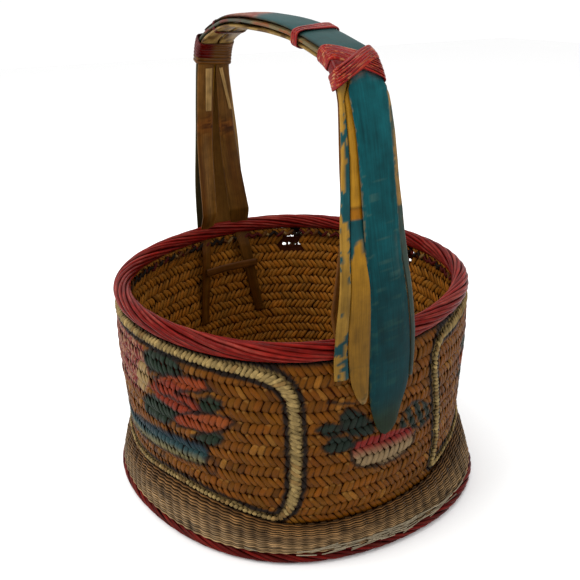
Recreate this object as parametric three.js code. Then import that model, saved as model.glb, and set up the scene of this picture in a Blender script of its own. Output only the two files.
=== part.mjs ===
// Woven bamboo fruit basket with a fixed arched handle.
// Millimetres, +Z up, origin at the bottom centre of the foot.
// The handle stands in the XZ plane (legs at +X and -X); the painted panels face -Y and +Y.
import * as THREE from 'three';

// ---------- driving dimensions ----------
const RIM_Z = 182.1;            // height of the rim rope's centre line
const RIM_R = 140;              // radius of the rim rope's centre line
const RIM_STRANDS = 3;
const RIM_STRAND_R = 3.15;
const RIM_STRAND_OFF = 3.9;
const RIM_TURNS = 4;            // whole twists of the rope in one trip round the rim
const WALL_T = 5;               // woven wall thickness
const WALL_BOTTOM = 24;
const WALL_TOP = 174.2;
const FLOOR_Z = 26;
const FLOOR_T = 4;
const SKIRT_TOP = 47.5;         // where the flared foot skirt leaves the wall
const SKIRT_BOTTOM = 9.2;
const SKIRT_T = 2.4;
const FOOT_ROPE_R = 148.6;
const FOOT_ROPE_Z = 5.05;
const FOOT_STRAND_R = 2.2;
const FOOT_STRAND_OFF = 2.75;
const FOOT_TURNS = 10;
const HOOP_RO = 143.4;          // bamboo hoop inside the foot
const HOOP_T = 4.2;
const HOOP_H = 13;
const BLADE_T = 3.0;
const SIDE_T = 2.6;
const INNER_T = 2.8;
const CLEAR = 0.3;              // gap left between touching pieces
const N_RING = 60;

// Plan shape: slow harmonics turn the circle into a soft rounded square at the rim
// and an oval at the foot.  Angles are measured from the axis PLAN_A0.
const PLAN_A0 = THREE.MathUtils.degToRad(63);
const PLAN_RIM = { a2: -0.0038, b2: 0.0054, a4: 0.0149, b4: 0.0020 };
const PLAN_FOOT = { a2: 0.0505, b2: -0.0185, a4: 0.0152, b4: -0.0126 };

// outer radius of the woven wall by height
const WALL_OUT = [[24, 142.6], [46, 143.4], [52, 144.6], [60, 145.0], [70, 145.4], [90, 146.1],
  [110, 146.9], [130, 147.6], [150, 147.4], [160, 146.8], [168, 145.6], [174.2, 143.2]];
// outer radius of the foot skirt by height
const SKIRT_OUT = [[10.4, 152.2], [20, 151.9], [30, 151.2], [36, 150.4], [42, 148.6], [47.5, 146.4]];

// Outer profile of the handle in the XZ plane, front leg first.
const HANDLE_PROFILE = [[151.2, 76], [151.2, 100], [151.2, 130], [151.3, 160], [151.2, 182], [149.2, 198], [145.8, 217], [140, 269],
  [134.3, 304], [131, 329], [128.7, 343], [124, 355.5], [115.5, 366], [104, 371.8], [93, 374.7], [81, 377.6],
  [68, 380.4], [55, 383], [27, 386.4], [0, 388], [-30, 388.6], [-56, 386.8], [-79, 381.6], [-102, 374.4],
  [-112.5, 368.5], [-119, 360.5], [-123.5, 350], [-126.8, 338], [-129.4, 325], [-133.4, 304], [-138.5, 270],
  [-143, 217], [-147.5, 198], [-150.4, 182], [-151, 160], [-151.2, 130], [-151.2, 100], [-151.2, 76]];

// ---------- small helpers ----------
const root = new THREE.Group();
root.name = 'woven_fruit_basket';

function lerpTable(t, x) {
  if (x <= t[0][0]) return t[0][1];
  for (let i = 1; i < t.length; i++) {
    if (x <= t[i][0]) {
      const k = (x - t[i - 1][0]) / (t[i][0] - t[i - 1][0]);
      return t[i - 1][1] + k * (t[i][1] - t[i - 1][1]);
    }
  }
  return t[t.length - 1][1];
}
const smooth = (a, b, x) => {
  const k = Math.min(1, Math.max(0, (x - a) / (b - a)));
  return k * k * (3 - 2 * k);
};
const lerp = (a, b, k) => a + (b - a) * k;

function harmonic(a, h) {
  const t = a - PLAN_A0;
  return h.a2 * Math.cos(2 * t) + h.b2 * Math.sin(2 * t) + h.a4 * Math.cos(4 * t) + h.b4 * Math.sin(4 * t);
}
// plan scale at angle a and height z
function plan(a, z) {
  const w = Math.min(1, Math.max(0, (47 - z) / 41));
  return 1 + (1 - w) * harmonic(a, PLAN_RIM) + w * harmonic(a, PLAN_FOOT);
}

// height of the skirt's upper edge: it rises under the middle of each panel
const WAIST = [[0, 47], [10, 49], [20, 53], [30, 54], [38, 52.5], [45, 50], [52, 46.5], [60, 41.5], [66, 40], [90, 40]];
function waist(a) {
  let d = Math.abs((((a * 180 / Math.PI + 92.5 + 180) % 360) + 360) % 360 - 180);
  d = Math.min(d, 180 - d);
  let h = 0;
  for (const k of [-6, -3, 0, 3, 6]) h += lerpTable(WAIST, Math.abs(d + k)) / 5;
  return h;
}

function finish(pos, idx) {
  // orient the shell outwards
  let vol = 0;
  for (let i = 0; i < idx.length; i += 3) {
    const [a, b, c] = [idx[i] * 3, idx[i + 1] * 3, idx[i + 2] * 3];
    vol += pos[a] * (pos[b + 1] * pos[c + 2] - pos[b + 2] * pos[c + 1])
      + pos[a + 1] * (pos[b + 2] * pos[c] - pos[b] * pos[c + 2])
      + pos[a + 2] * (pos[b] * pos[c + 1] - pos[b + 1] * pos[c]);
  }
  if (vol < 0) for (let i = 0; i < idx.length; i += 3) { const s = idx[i]; idx[i] = idx[i + 1]; idx[i + 1] = s; }
  const g = new THREE.BufferGeometry();
  g.setAttribute('position', new THREE.Float32BufferAttribute(pos, 3));
  g.setIndex(idx);
  g.computeVertexNormals();
  return g;
}

// Sweep a section along frames.  frames[i] is an array of section points (Vector3).
function sweepSections(frames, closed) {
  const m = frames[0].length;
  const pos = [];
  const idx = [];
  for (const f of frames) for (const p of f) pos.push(p.x, p.y, p.z);
  const n = frames.length;
  const last = closed ? n : n - 1;
  for (let i = 0; i < last; i++) {
    const j = (i + 1) % n;
    for (let k = 0; k < m; k++) {
      const l = (k + 1) % m;
      idx.push(i * m + k, j * m + k, j * m + l, i * m + k, j * m + l, i * m + l);
    }
  }
  if (!closed) {
    for (let k = 1; k < m - 1; k++) {
      idx.push(0, k, k + 1);
      const o = (n - 1) * m;
      idx.push(o, o + k + 1, o + k);
    }
  }
  return finish(pos, idx);
}

// Tube of elliptical section along a polyline; ref(i) gives the direction of the section's first axis.
function tube(pts, ref, r1, r2, sides, closed) {
  const n = pts.length;
  const frames = [];
  for (let i = 0; i < n; i++) {
    const a = pts[closed ? (i + n - 1) % n : Math.max(0, i - 1)];
    const b = pts[closed ? (i + 1) % n : Math.min(n - 1, i + 1)];
    const t = b.clone().sub(a).normalize();
    const u = ref(i).clone();
    u.addScaledVector(t, -u.dot(t)).normalize();
    const v = new THREE.Vector3().crossVectors(t, u);
    const f = [];
    for (let k = 0; k < sides; k++) {
      const q = 2 * Math.PI * (k + 0.5) / sides;
      f.push(pts[i].clone().addScaledVector(u, r1 * Math.cos(q)).addScaledVector(v, r2 * Math.sin(q)));
    }
    frames.push(f);
  }
  return sweepSections(frames, closed);
}

// Ring whose closed (r, z) profile follows the plan shape.
function planRing(profile, n = N_RING) {
  const frames = [];
  for (let i = 0; i < n; i++) {
    const a = 2 * Math.PI * i / n;
    frames.push(profile.map(([r, z]) => {
      const q = r * plan(a, z);
      return new THREE.Vector3(q * Math.cos(a), q * Math.sin(a), z);
    }));
  }
  return sweepSections(frames, true);
}

function add(name, geometry, color, roughness, metalness = 0) {
  const m = new THREE.MeshStandardMaterial({ color, roughness, metalness });
  m.name = name + '_material';
  const mesh = new THREE.Mesh(geometry, m);
  mesh.name = name;
  root.add(mesh);
  return mesh;
}

// colours
const C_WEAVE = 0x9a5f26, C_FLOOR = 0x8a5522, C_SKIRT = 0xb59a6e, C_RED = 0x9e1f1a, C_HOOP = 0xa8763a;
const C_TEAL = 0x1f6f78, C_OCHRE = 0xc79a3a, C_TEAL_WORN = 0x4c8a84, C_BAMBOO = 0x8d5c22, C_CREAM = 0xd9cba6;
const C_PALE = 0xc9ad72, C_DARK = 0x3b2412;

// ---------- body ----------
{
  const prof = WALL_OUT.map(([z, r]) => [r, z]);
  const inner = [[WALL_TOP, 139.0], [160, 141.6], [130, 142.6], [100, 141.6], [70, 140.4], [WALL_BOTTOM, 137.6]];
  for (const [z, r] of inner) prof.push([r, z]);
  add('body_wall_weave', planRing(prof), C_WEAVE, 0.7);
}
{
  // slightly domed floor
  const R = 137.6 - CLEAR - 0.2;
  const pos = [], idx = [], n = N_RING;
  const rings = [[0, 2.2], [R * 0.5, 1.8], [R, 0]];
  const levels = [FLOOR_Z, FLOOR_Z + FLOOR_T];
  const id = [[], []];
  for (let s = 0; s < 2; s++) {
    pos.push(0, 0, levels[s] + rings[0][1]);
    id[s].push([pos.length / 3 - 1]);
    for (let k = 1; k < 3; k++) {
      const row = [];
      for (let i = 0; i < n; i++) {
        const a = 2 * Math.PI * i / n;
        const q = rings[k][0] * plan(a, levels[s]);
        row.push(pos.length / 3);
        pos.push(q * Math.cos(a), q * Math.sin(a), levels[s] + rings[k][1]);
      }
      id[s].push(row);
    }
  }
  for (let i = 0; i < n; i++) {
    const j = (i + 1) % n;
    for (let s = 0; s < 2; s++) {
      const [c, a, b] = id[s];
      const t = s ? [[c[0], a[i], a[j]], [a[i], b[i], b[j]], [a[i], b[j], a[j]]]
        : [[c[0], a[j], a[i]], [a[i], b[j], b[i]], [a[i], a[j], b[j]]];
      for (const q of t) idx.push(...q);
    }
    const lo = id[0][2], hi = id[1][2];
    idx.push(lo[i], lo[j], hi[j], lo[i], hi[j], hi[i]);
  }
  add('body_floor', finish(pos, idx), C_FLOOR, 0.75);
}
{
  const frames = [];
  const NS = 72;
  for (let i = 0; i < NS; i++) {
    const a = 2 * Math.PI * i / NS, w = waist(a), f = [];
    const put = (r, z) => f.push(new THREE.Vector3(r * plan(a, z) * Math.cos(a), r * plan(a, z) * Math.sin(a), z));
    const up = (z) => 10.4 + (z - 10.4) * (w - 10.4) / 37.1;
    for (const [z, r] of SKIRT_OUT) put(r, up(z));
    for (const [z, r] of [...SKIRT_OUT].reverse()) put(Math.max(r - SKIRT_T, z > 41 ? lerpTable(WALL_OUT, up(z)) + 0.45 : 0), up(z));
    frames.push(f);
  }
  add('foot_skirt', sweepSections(frames, true), C_SKIRT, 0.75);
}
add('foot_hoop', planRing([[HOOP_RO, 0], [HOOP_RO, HOOP_H], [HOOP_RO - HOOP_T, HOOP_H], [HOOP_RO - HOOP_T, 0]]), C_HOOP, 0.6);

// twisted rope: one closed helical strand per mesh
function ropeStrand(R, z0, off, r, turns, phase, segs, sides) {
  const pts = [], refs = [];
  for (let i = 0; i < segs; i++) {
    const a = 2 * Math.PI * i / segs;
    const psi = phase - turns * a;
    const q = R * plan(a, z0) + off * Math.cos(psi);
    pts.push(new THREE.Vector3(q * Math.cos(a), q * Math.sin(a), z0 + off * Math.sin(psi)));
    refs.push(new THREE.Vector3(Math.cos(a) * Math.cos(psi), Math.sin(a) * Math.cos(psi), Math.sin(psi)));
  }
  return tube(pts, (i) => refs[i], r, r, sides, true);
}
for (let k = 0; k < 2; k++) {
  add(`foot_rope_strand_${k + 1}`,
    ropeStrand(FOOT_ROPE_R, FOOT_ROPE_Z, FOOT_STRAND_OFF, FOOT_STRAND_R, FOOT_TURNS, Math.PI * k, 84, 4), C_RED, 0.45);
}
for (let k = 0; k < RIM_STRANDS; k++) {
  add(`rim_rope_strand_${k + 1}`,
    ropeStrand(RIM_R, RIM_Z, RIM_STRAND_OFF, RIM_STRAND_R, RIM_TURNS, 2 * Math.PI * k / RIM_STRANDS + 0.6, 72, 6), C_RED, 0.4);
}
// dark interlaced strip tucked under the rim on the inside
add('rim_inner_binding', planRing([[138.4, 168], [138.2, 174.6], [135.2, 174.6], [134.6, 168]]), C_DARK, 0.7);

// ---------- painted panel borders lying on the wall ----------
// centre lines as (degrees from the panel's centre, height, half width)
const SIDE = [[59.6, 46.4, 2.6], [63.1, 58, 3.6], [64.6, 72, 4.0], [65, 125, 4.0], [64.6, 146.5, 4.0], [63.2, 157, 4.0], [60.8, 163.6, 4.0]];
const TOP = [[56, 168.2, 3.4], [51.6, 169.4, 3.1], [45, 170, 3], [38, 170.2, 3], [31, 170.3, 3], [24, 170.3, 3], [18, 170.3, 3], [12, 170.2, 3], [6, 170.1, 3], [0, 170, 3]];
const BOT = [[0, 51.2, 2], [6, 52.4, 2], [12, 54.4, 2], [18, 56.8, 2], [24, 58, 2], [30, 58.2, 2], [38, 56.6, 2], [45.8, 53.6, 2], [53, 49.8, 2.1]];
const SIDE_L = [[-63.8, 46, 2.6], [-63.2, 56, 3], [-62.5, 70, 3], [-63.6, 90, 3], [-65.2, 111, 3], [-67.4, 132, 3], [-68.6, 150, 3], [-67.6, 159, 3], [-64.6, 165.6, 3]];
const mirrored = (l) => l.map(([a, z, w]) => [-a, z, w]).reverse();
function panelFrame(centre, left, t) {
  const pts = [...SIDE, ...TOP, ...mirrored(TOP).slice(1), ...left, ...mirrored(BOT).slice(0, -1), ...BOT];
  const flat = pts.map(([a, z]) => [THREE.MathUtils.degToRad(a) * 146, z]);
  const n = pts.length;
  const frames = [];
  for (let i = 0; i < n; i++) {
    const p = flat[(i + n - 1) % n], q = flat[(i + 1) % n];
    const tx = q[0] - p[0], tz = q[1] - p[1], l = Math.hypot(tx, tz);
    const nx = -tz / l, nz = tx / l, w = pts[i][2];
    const f = [];
    for (const [s, d] of [[-1, 0.75], [1, 0.75], [1, 0.75 + t], [-1, 0.75 + t]]) {
      const u = flat[i][0] + nx * s * w, z = flat[i][1] + nz * s * w;
      const a = THREE.MathUtils.degToRad(centre) + u / 146;
      const r = lerpTable(WALL_OUT, z) * plan(a, z) + d;
      f.push(new THREE.Vector3(r * Math.cos(a), r * Math.sin(a), z));
    }
    frames.push(f);
  }
  return sweepSections(frames, true);
}
add('front_panel_border', panelFrame(-92.5, mirrored(SIDE), 1.6), C_CREAM, 0.7);
add('back_panel_border', panelFrame(88, [...SIDE_L].reverse(), 1.6), C_CREAM, 0.7);

// ---------- handle ----------
const curve = new THREE.CatmullRomCurve3(HANDLE_PROFILE.map(([x, z]) => new THREE.Vector3(x, 0, z)), false, 'centripetal');
curve.arcLengthDivisions = 1200;
const LEN = curve.getLength();
function station(s) {
  const u = Math.min(1, Math.max(0, s / LEN));
  const p = curve.getPointAt(u), t = curve.getTangentAt(u);
  // profile runs from +X leg over the top to the -X leg; outward normal
  return { x: p.x, z: p.z, nx: t.z, nz: -t.x };
}
// arc length of the profile at given heights on each leg, found by scanning
const SCAN = [];
for (let i = 0; i <= 1600; i++) { const s = LEN * i / 1600; const q = station(s); SCAN.push([s, q.x, q.z]); }
function sAtZ(side, z) {
  let best = 0, d = 1e9;
  for (const [s, x, zz] of SCAN) if (x * side > 100 && Math.abs(zz - z) < d) { d = Math.abs(zz - z); best = s; }
  return best;
}
function sAtX(x) {
  let best = 0, d = 1e9;
  for (const [s, xx, zz] of SCAN) if (zz > 345 && Math.abs(xx - x) < d) { d = Math.abs(xx - x); best = s; }
  return best;
}
// Radius just outside the wall and rope, and just inside the rope and wall.
const ENV_OUT = 148.3;
const ENV_IN = [[80, 140.4], [100, 140.4], [130, 138.5], [150, 135.2], [160, 132.2], [400, 132.2]];
// Point at profile position s, sideways y, depth d below the outer surface.
function at(s, y, d, layer) {
  const q = station(s);
  let x = q.x - q.nx * d;
  let z = q.z - q.nz * d;
  const side = Math.sign(q.x);
  const zr = q.z;
  if (zr < 300 && Math.abs(q.x) > 100) {
    const k = 1 - smooth(192, 296, zr);
    const a = Math.atan2(y, side * 148);
    let xe;
    if (layer === 'inner') {
      const R = lerpTable(ENV_IN, zr) * plan(a, zr);
      xe = Math.sqrt(R * R - y * y) - (d - INNER_D);
    } else {
      const R = ENV_OUT * plan(a, Math.max(zr, 60));
      xe = Math.sqrt(R * R - y * y) + 3.3 - d;
    }
    x = side * lerp(Math.abs(x), xe, k);
    z = lerp(z, zr, k);
  }
  return new THREE.Vector3(x, y, z);
}
const INNER_D = 6.75;   // depth of the inner layer's outer face on the arch

// n + 1 profile positions between s0 and s1, packed closer round the two shoulders
function stations(s0, s1, n) {
  const a = sAtX(118), b = sAtX(-114);
  const w = (s) => 1 + 2.6 * Math.exp(-(((s - a) / 24) ** 2)) + 2.6 * Math.exp(-(((s - b) / 24) ** 2));
  const acc = [0];
  const m = 400;
  for (let i = 0; i < m; i++) acc.push(acc[i] + w(lerp(s0, s1, (i + 0.5) / m)));
  const out = [];
  let j = 0;
  for (let i = 0; i <= n; i++) {
    const t = acc[m] * i / n;
    while (j < m - 1 && acc[j + 1] < t) j++;
    out.push(lerp(s0, s1, (j + (t - acc[j]) / (acc[j + 1] - acc[j])) / m));
  }
  return out;
}

// Strip lying in the handle: tables of side edges by height on each leg, constant over the arch.
function strip({ s0, s1, n, front, back, arch, archF, depth, t, layer, crown = 0, taper0 = 0, taper1 = 0 }) {
  const sF = sAtZ(1, 343), sB = sAtZ(-1, 343);
  const edges = (s) => {
    const q = station(s);
    if (s < sF) return [lerpTable(front.l, q.z), lerpTable(front.r, q.z)];
    if (s > sB) return [lerpTable(back.l, q.z), lerpTable(back.r, q.z)];
    const k = (s - sF) / (sB - sF);
    const f = [lerpTable(front.l, 343), lerpTable(front.r, 343)];
    const b = [lerpTable(back.l, 343), lerpTable(back.r, 343)];
    if (archF) {
      const q = smooth(0, 14, s - sF);
      return [0, 1].map((i) => lerp(f[i], lerp(archF[i], b[i], k), q));
    }
    return arch ? [arch(k, 0, f, b), arch(k, 1, f, b)] : [lerp(f[0], b[0], k), lerp(f[1], b[1], k)];
  };
  const ss = stations(s0, s1, n);
  const frames = [];
  ss.forEach((s, i) => {
    let [yl, yr] = edges(s);
    const yc = (yl + yr) / 2;
    let k = 1;
    if (taper0 && s - s0 < taper0) k = Math.min(k, lerp(0.12, 1, Math.sqrt((s - s0) / taper0)));
    if (taper1 && s1 - s < taper1) k = Math.min(k, lerp(0.12, 1, Math.sqrt((s1 - s) / taper1)));
    yl = lerp(yc, yl, k); yr = lerp(yc, yr, k);
    const d = typeof depth === 'function' ? depth(s) : depth;
    const f = [at(s, yl, d + t, layer), at(s, yr, d + t, layer), at(s, yr, d + crown, layer), at(s, yc, d, layer), at(s, yl, d + crown, layer)];
    // keep the inner face from bridging a curved wall: add its mid point
    f.splice(1, 0, at(s, yc, d + t, layer));
    frames.push(f);
  });
  return sweepSections(frames, false);
}

const zf = (z) => sAtZ(1, z);
const zb = (z) => sAtZ(-1, z);
// how far the layers spread between the bindings, by arch position
const spread = (s) => {
  const a = sAtX(88), b = sAtX(58), c = sAtX(-70);
  let k = 0;
  if (s > b && s < c) k = Math.sin(Math.PI * (s - b) / (c - b));
  return Math.max(0, k);
};
const midDepth = (s) => {
  const q = station(s);
  if (q.z < 343) return lerp(0.3, 3.35, smooth(222, 276, q.z));
  return 3.35 + 0.7 * spread(s);
};
const innerDepth = (s) => {
  const q = station(s);
  return q.z < 343 ? INNER_D : INNER_D + 1.5 * spread(s);
};

// outer blade on the front leg: broad painted board with a pointed lower tip and a rounded top
add('handle_front_blade', strip({
  s0: zf(110.6), s1: sAtX(118), n: 24,
  front: { l: [[110.6, -4.6], [112.6, -7.2], [118, -10.6], [125, -13.2], [135, -16], [145, -17.3], [163, -18.4], [181, -19.2], [198, -19.7],
    [247, -20.5], [265, -20.1], [291, -19], [308, -19.3], [325, -20.4], [343, -23.2]],
    r: [[110.6, -2.2], [112.6, 3.2], [117.5, 7.2], [126.5, 9.6], [135, 12.5], [143, 15.2], [151, 17], [170, 17.2], [188, 15.8], [215, 12],
      [242, 7.6], [261, 6.9], [280, 7.2], [305, 7], [323, 5.9], [343, 4.6]] },
  back: { l: [[0, -23.2]], r: [[0, 4.6]] },
  arch: (k, i, f) => f[i], depth: 0, t: BLADE_T, crown: 0.7, taper1: 16 }), C_TEAL, 0.5);
// outer blade on the back leg
add('handle_back_blade', strip({
  s0: sAtX(-112), s1: zb(109), n: 20,
  front: { l: [[0, -27]], r: [[0, -1]] },
  back: { l: [[109, 1.0], [115, -4], [124, -9], [134, -12], [157, -14], [178, -15], [215, -14.2], [250, -14.6], [280, -15.2], [300, -17.5], [343, -26]],
    r: [[109, 3.4], [115, 8], [124, 14], [134, 18], [157, 20], [178, 21], [215, 18], [280, 7], [343, -1]] },
  arch: (k, i, f, b) => b[i], depth: 0, t: BLADE_T, crown: 0.7, taper0: 16 }), C_TEAL, 0.5);
// broad strip on top of the arch, its ends butted against the two blades
add('handle_top_blade', strip({
  s0: sAtX(117) + 3, s1: sAtX(-111) - 3, n: 24,
  front: { l: [[0, -28]], r: [[0, 4]] }, back: { l: [[0, -28]], r: [[0, 1]] },
  depth: 0, t: BLADE_T, crown: 0.7, taper0: 10, taper1: 10 }), C_TEAL, 0.5);
// narrow side strips
add('handle_side_strip_a', strip({
  s0: zf(163), s1: zb(163), n: 36,
  front: { l: [[163, -43.4], [178, -43.8], [202, -42.4], [249, -37.6], [267, -35.5], [292, -31.5], [309, -29.9], [343, -28.8]],
    r: [[163, -33.6], [184, -34.9], [201, -34.4], [248, -30.9], [265, -28.7], [279, -26.7], [292, -25.3], [309, -24.3], [343, -25.7]] },
  back: { l: [[163, -31.4], [215, -31], [343, -29.6]], r: [[163, -22.5], [215, -22.5], [280, -22.4], [343, -20.9]] },
  archF: [-29.2, -21], depth: midDepth, t: SIDE_T, crown: 0.4 }), C_TEAL_WORN, 0.6);
add('handle_side_strip_b', strip({
  s0: zf(141), s1: zb(160), n: 36,
  front: { l: [[141, -23.6], [147, -27.4], [156, -30.8], [166, -32.8], [184, -34.3], [201, -33.8], [248, -30.3], [265, -28.1], [279, -26.1], [292, -24.7], [309, -23.7], [343, -25.1]],
    r: [[141, -20.4], [147, -18.4], [163, -18.9], [181, -19.7], [198, -20.2], [247, -21], [265, -20.6], [277, -20.3], [291, -16.2], [309, -16.4], [343, -17.4]] },
  back: { l: [[160, -21.8], [178, -21.9], [215, -21.9], [280, -21.8], [343, -20.4]], r: [[160, -16.5], [215, -16.2], [282, -15.9], [300, -14], [343, -11]] },
  archF: [-20.4, -12], depth: midDepth, t: SIDE_T, crown: 0.4 }), C_OCHRE, 0.5);
add('handle_side_strip_c', strip({
  s0: zf(152), s1: zb(160), n: 36,
  front: { l: [[152, 17.5], [170, 17.7], [188, 16.4], [215, 12.6], [242, 8.2], [261, 7.5], [277, 7.7], [290, 5.4], [310, 4.6], [343, 1.6]],
    r: [[152, 20], [170, 20.8], [188, 20.2], [215, 16.2], [236, 13], [259, 12.3], [273, 12.6], [287, 12.2], [304, 11.7], [322, 10.4], [343, 7.6]] },
  back: { l: [[160, 21.6], [178, 22.0], [215, 18.9], [240, 15], [280, 7.6], [300, 0], [343, -7]], r: [[160, 26], [178, 26], [215, 23], [280, 12], [343, 1.2]] },
  archF: [-6, 3.8], depth: midDepth, t: SIDE_T, crown: 0.4 }), C_OCHRE, 0.5);
// inner pair of broad bamboo strips: they pass inside the rim and end against the inside of the wall
add('handle_inner_strip_left', strip({
  s0: zf(100), s1: zb(84), n: 38,
  front: { l: [[100, -40], [190, -37], [270, -31], [343, -28]], r: [[100, -26], [190, -22.5], [270, -17], [343, -13.6]] },
  back: { l: [[84, -38.6], [168, -33], [200, -31.4], [343, -29.2]], r: [[84, -25], [168, -18], [200, -15.6], [343, -14.2]] },
  depth: innerDepth, t: INNER_T, layer: 'inner', crown: 0.3 }), C_BAMBOO, 0.5);
add('handle_inner_strip_right', strip({
  s0: zf(100), s1: zb(84), n: 38,
  front: { l: [[100, -1], [190, -3.5], [270, -9], [343, -11.6]], r: [[100, 13], [190, 11], [270, 6], [343, 4]] },
  back: { l: [[84, 26], [168, 8], [200, -1.5], [290, -8.6], [343, -12.2]], r: [[84, 39], [168, 23.6], [200, 20.2], [290, 6.2], [343, 0.4]] },
  depth: innerDepth, t: INNER_T, layer: 'inner', crown: 0.3 }), C_BAMBOO, 0.5);
// pale shaved slivers lying on the inner strips just under the back shoulder
add('handle_sliver_left', strip({
  s0: zb(343), s1: zb(304), n: 5,
  front: { l: [[0, -20]], r: [[0, -15]] }, back: { l: [[304, -22], [343, -22.6]], r: [[304, -16.6], [343, -16.2]] },
  depth: INNER_D + INNER_T + CLEAR, t: 0.9, layer: 'inner' }), C_PALE, 0.6);
add('handle_sliver_right', strip({
  s0: zb(343), s1: zb(304), n: 5,
  front: { l: [[0, -10]], r: [[0, 0]] }, back: { l: [[304, 1], [343, -9.8]], r: [[304, 3.6], [343, -6.4]] },
  depth: INNER_D + INNER_T + CLEAR, t: 0.9, layer: 'inner' }), C_PALE, 0.6);

// Cane coil wound round the stack of strips.
function coil({ s0, turns, pitch, tilt, yl, yr, dOut, dIn, r, r2 }) {
  const o = r + 0.45;
  const yc = (yl + yr) / 2, hw = (yr - yl) / 2 + o;
  const top = dOut - o, bot = dIn + o, ch = 1.2;
  // one turn as (y, depth): up the -Y side, over the top, down the +Y side, back underneath
  const loop = [[yl - o, bot - ch], [yl - o, top + ch], [yl - o + ch, top], [yc - hw * 0.33, top], [yc + hw * 0.33, top],
    [yr + o - ch, top], [yr + o, top + ch], [yr + o, bot - ch], [yr + o - ch, bot], [yc, bot], [yl - o + ch, bot]];
  const m = loop.length;
  const pts = [], refs = [];
  const total = Math.round(turns * m);
  for (let i = 0; i <= total; i++) {
    const [y, d] = loop[i % m];
    const s = s0 + pitch * i / m + tilt * (y - yc) / hw;
    pts.push(at(s, y, d));
    const c = at(s, yc, (top + bot) / 2);
    refs.push(pts[pts.length - 1].clone().sub(c));
  }
  return tube(pts, (i) => refs[i], r, r2 || r, 4, false);
}
const stackIn = INNER_D + INNER_T;      // depth of the stack's underside
const frontYl = -30.2, frontYr = 4.8;
// front shoulder: two coils of cane leaning opposite ways and crossing on top
add('binding_front_lower', coil({ s0: sAtX(119) + 1, turns: 4, pitch: 4.1, tilt: 13, yl: frontYl, yr: frontYr, dOut: 0, dIn: stackIn, r: 1.35, r2: 1.75 }), C_RED, 0.35);
add('binding_front_upper', coil({ s0: sAtX(119) + 1, turns: 4, pitch: 4.1, tilt: -13, yl: frontYl, yr: frontYr, dOut: -3.4, dIn: stackIn + 3.4, r: 1.35, r2: 1.75 }), C_RED, 0.35);
// ring of three turns on the arch
add('binding_mid_ring', coil({ s0: sAtX(70), turns: 3, pitch: 4.0, tilt: 3, yl: -30, yr: 4.4, dOut: 0, dIn: stackIn + 0.4, r: 1.3, r2: 1.7 }), C_RED, 0.4);
// wide wrap at the back shoulder and a thin double ring beside it
add('binding_back_wrap', coil({ s0: zb(368) - 2, turns: 6, pitch: 4.0, tilt: 1.2, yl: -29.2, yr: 2.2, dOut: 0, dIn: stackIn, r: 1.3, r2: 1.75 }), C_RED, 0.4);
add('binding_back_ring', coil({ s0: sAtX(-76), turns: 2, pitch: 2.6, tilt: 2, yl: -29.4, yr: 2.4, dOut: 0, dIn: stackIn + 0.8, r: 0.95, r2: 1.05 }), C_RED, 0.4);

// cross pieces tying the inner strips inside the wall
function crossTie(side, z, ya, yb, h) {
  const frames = [];
  const n = 8;
  for (let i = 0; i <= n; i++) {
    const y = lerp(ya, yb, i / n);
    const a = Math.atan2(y, side * 140);
    const R = lerpTable(ENV_IN, z) * plan(a, z) - INNER_T - 1.9;
    const f = [];
    for (const [dr, dz] of [[0, -h], [0, h], [-2, h], [-2, -h]]) {
      const q = R + dr;
      f.push(new THREE.Vector3(side * Math.sqrt(q * q - y * y), y, z + dz));
    }
    frames.push(f);
  }
  return sweepSections(frames, false);
}
add('inner_tie_back', crossTie(-1, 143, -31, 26, 4), C_BAMBOO, 0.6);
add('inner_tie_front', crossTie(1, 143, -40, 13, 4), C_BAMBOO, 0.6);

export default root;
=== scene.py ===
# Woven bamboo fruit basket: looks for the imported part.
import bpy, math
import numpy as np
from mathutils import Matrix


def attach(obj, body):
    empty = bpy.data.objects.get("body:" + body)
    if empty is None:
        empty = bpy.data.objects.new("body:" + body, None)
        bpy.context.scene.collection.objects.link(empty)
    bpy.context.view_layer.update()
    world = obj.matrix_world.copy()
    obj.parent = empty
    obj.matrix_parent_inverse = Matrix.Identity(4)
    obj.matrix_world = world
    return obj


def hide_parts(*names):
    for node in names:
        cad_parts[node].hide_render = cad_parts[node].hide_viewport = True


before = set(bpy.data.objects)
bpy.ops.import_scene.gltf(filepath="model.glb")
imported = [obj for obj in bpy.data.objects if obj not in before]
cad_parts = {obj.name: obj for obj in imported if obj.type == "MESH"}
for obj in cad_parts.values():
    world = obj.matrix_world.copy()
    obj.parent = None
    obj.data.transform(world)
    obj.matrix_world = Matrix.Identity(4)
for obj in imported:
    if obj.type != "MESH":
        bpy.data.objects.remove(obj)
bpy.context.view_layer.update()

MM = 0.001
rng = np.random.default_rng(11)

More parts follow.
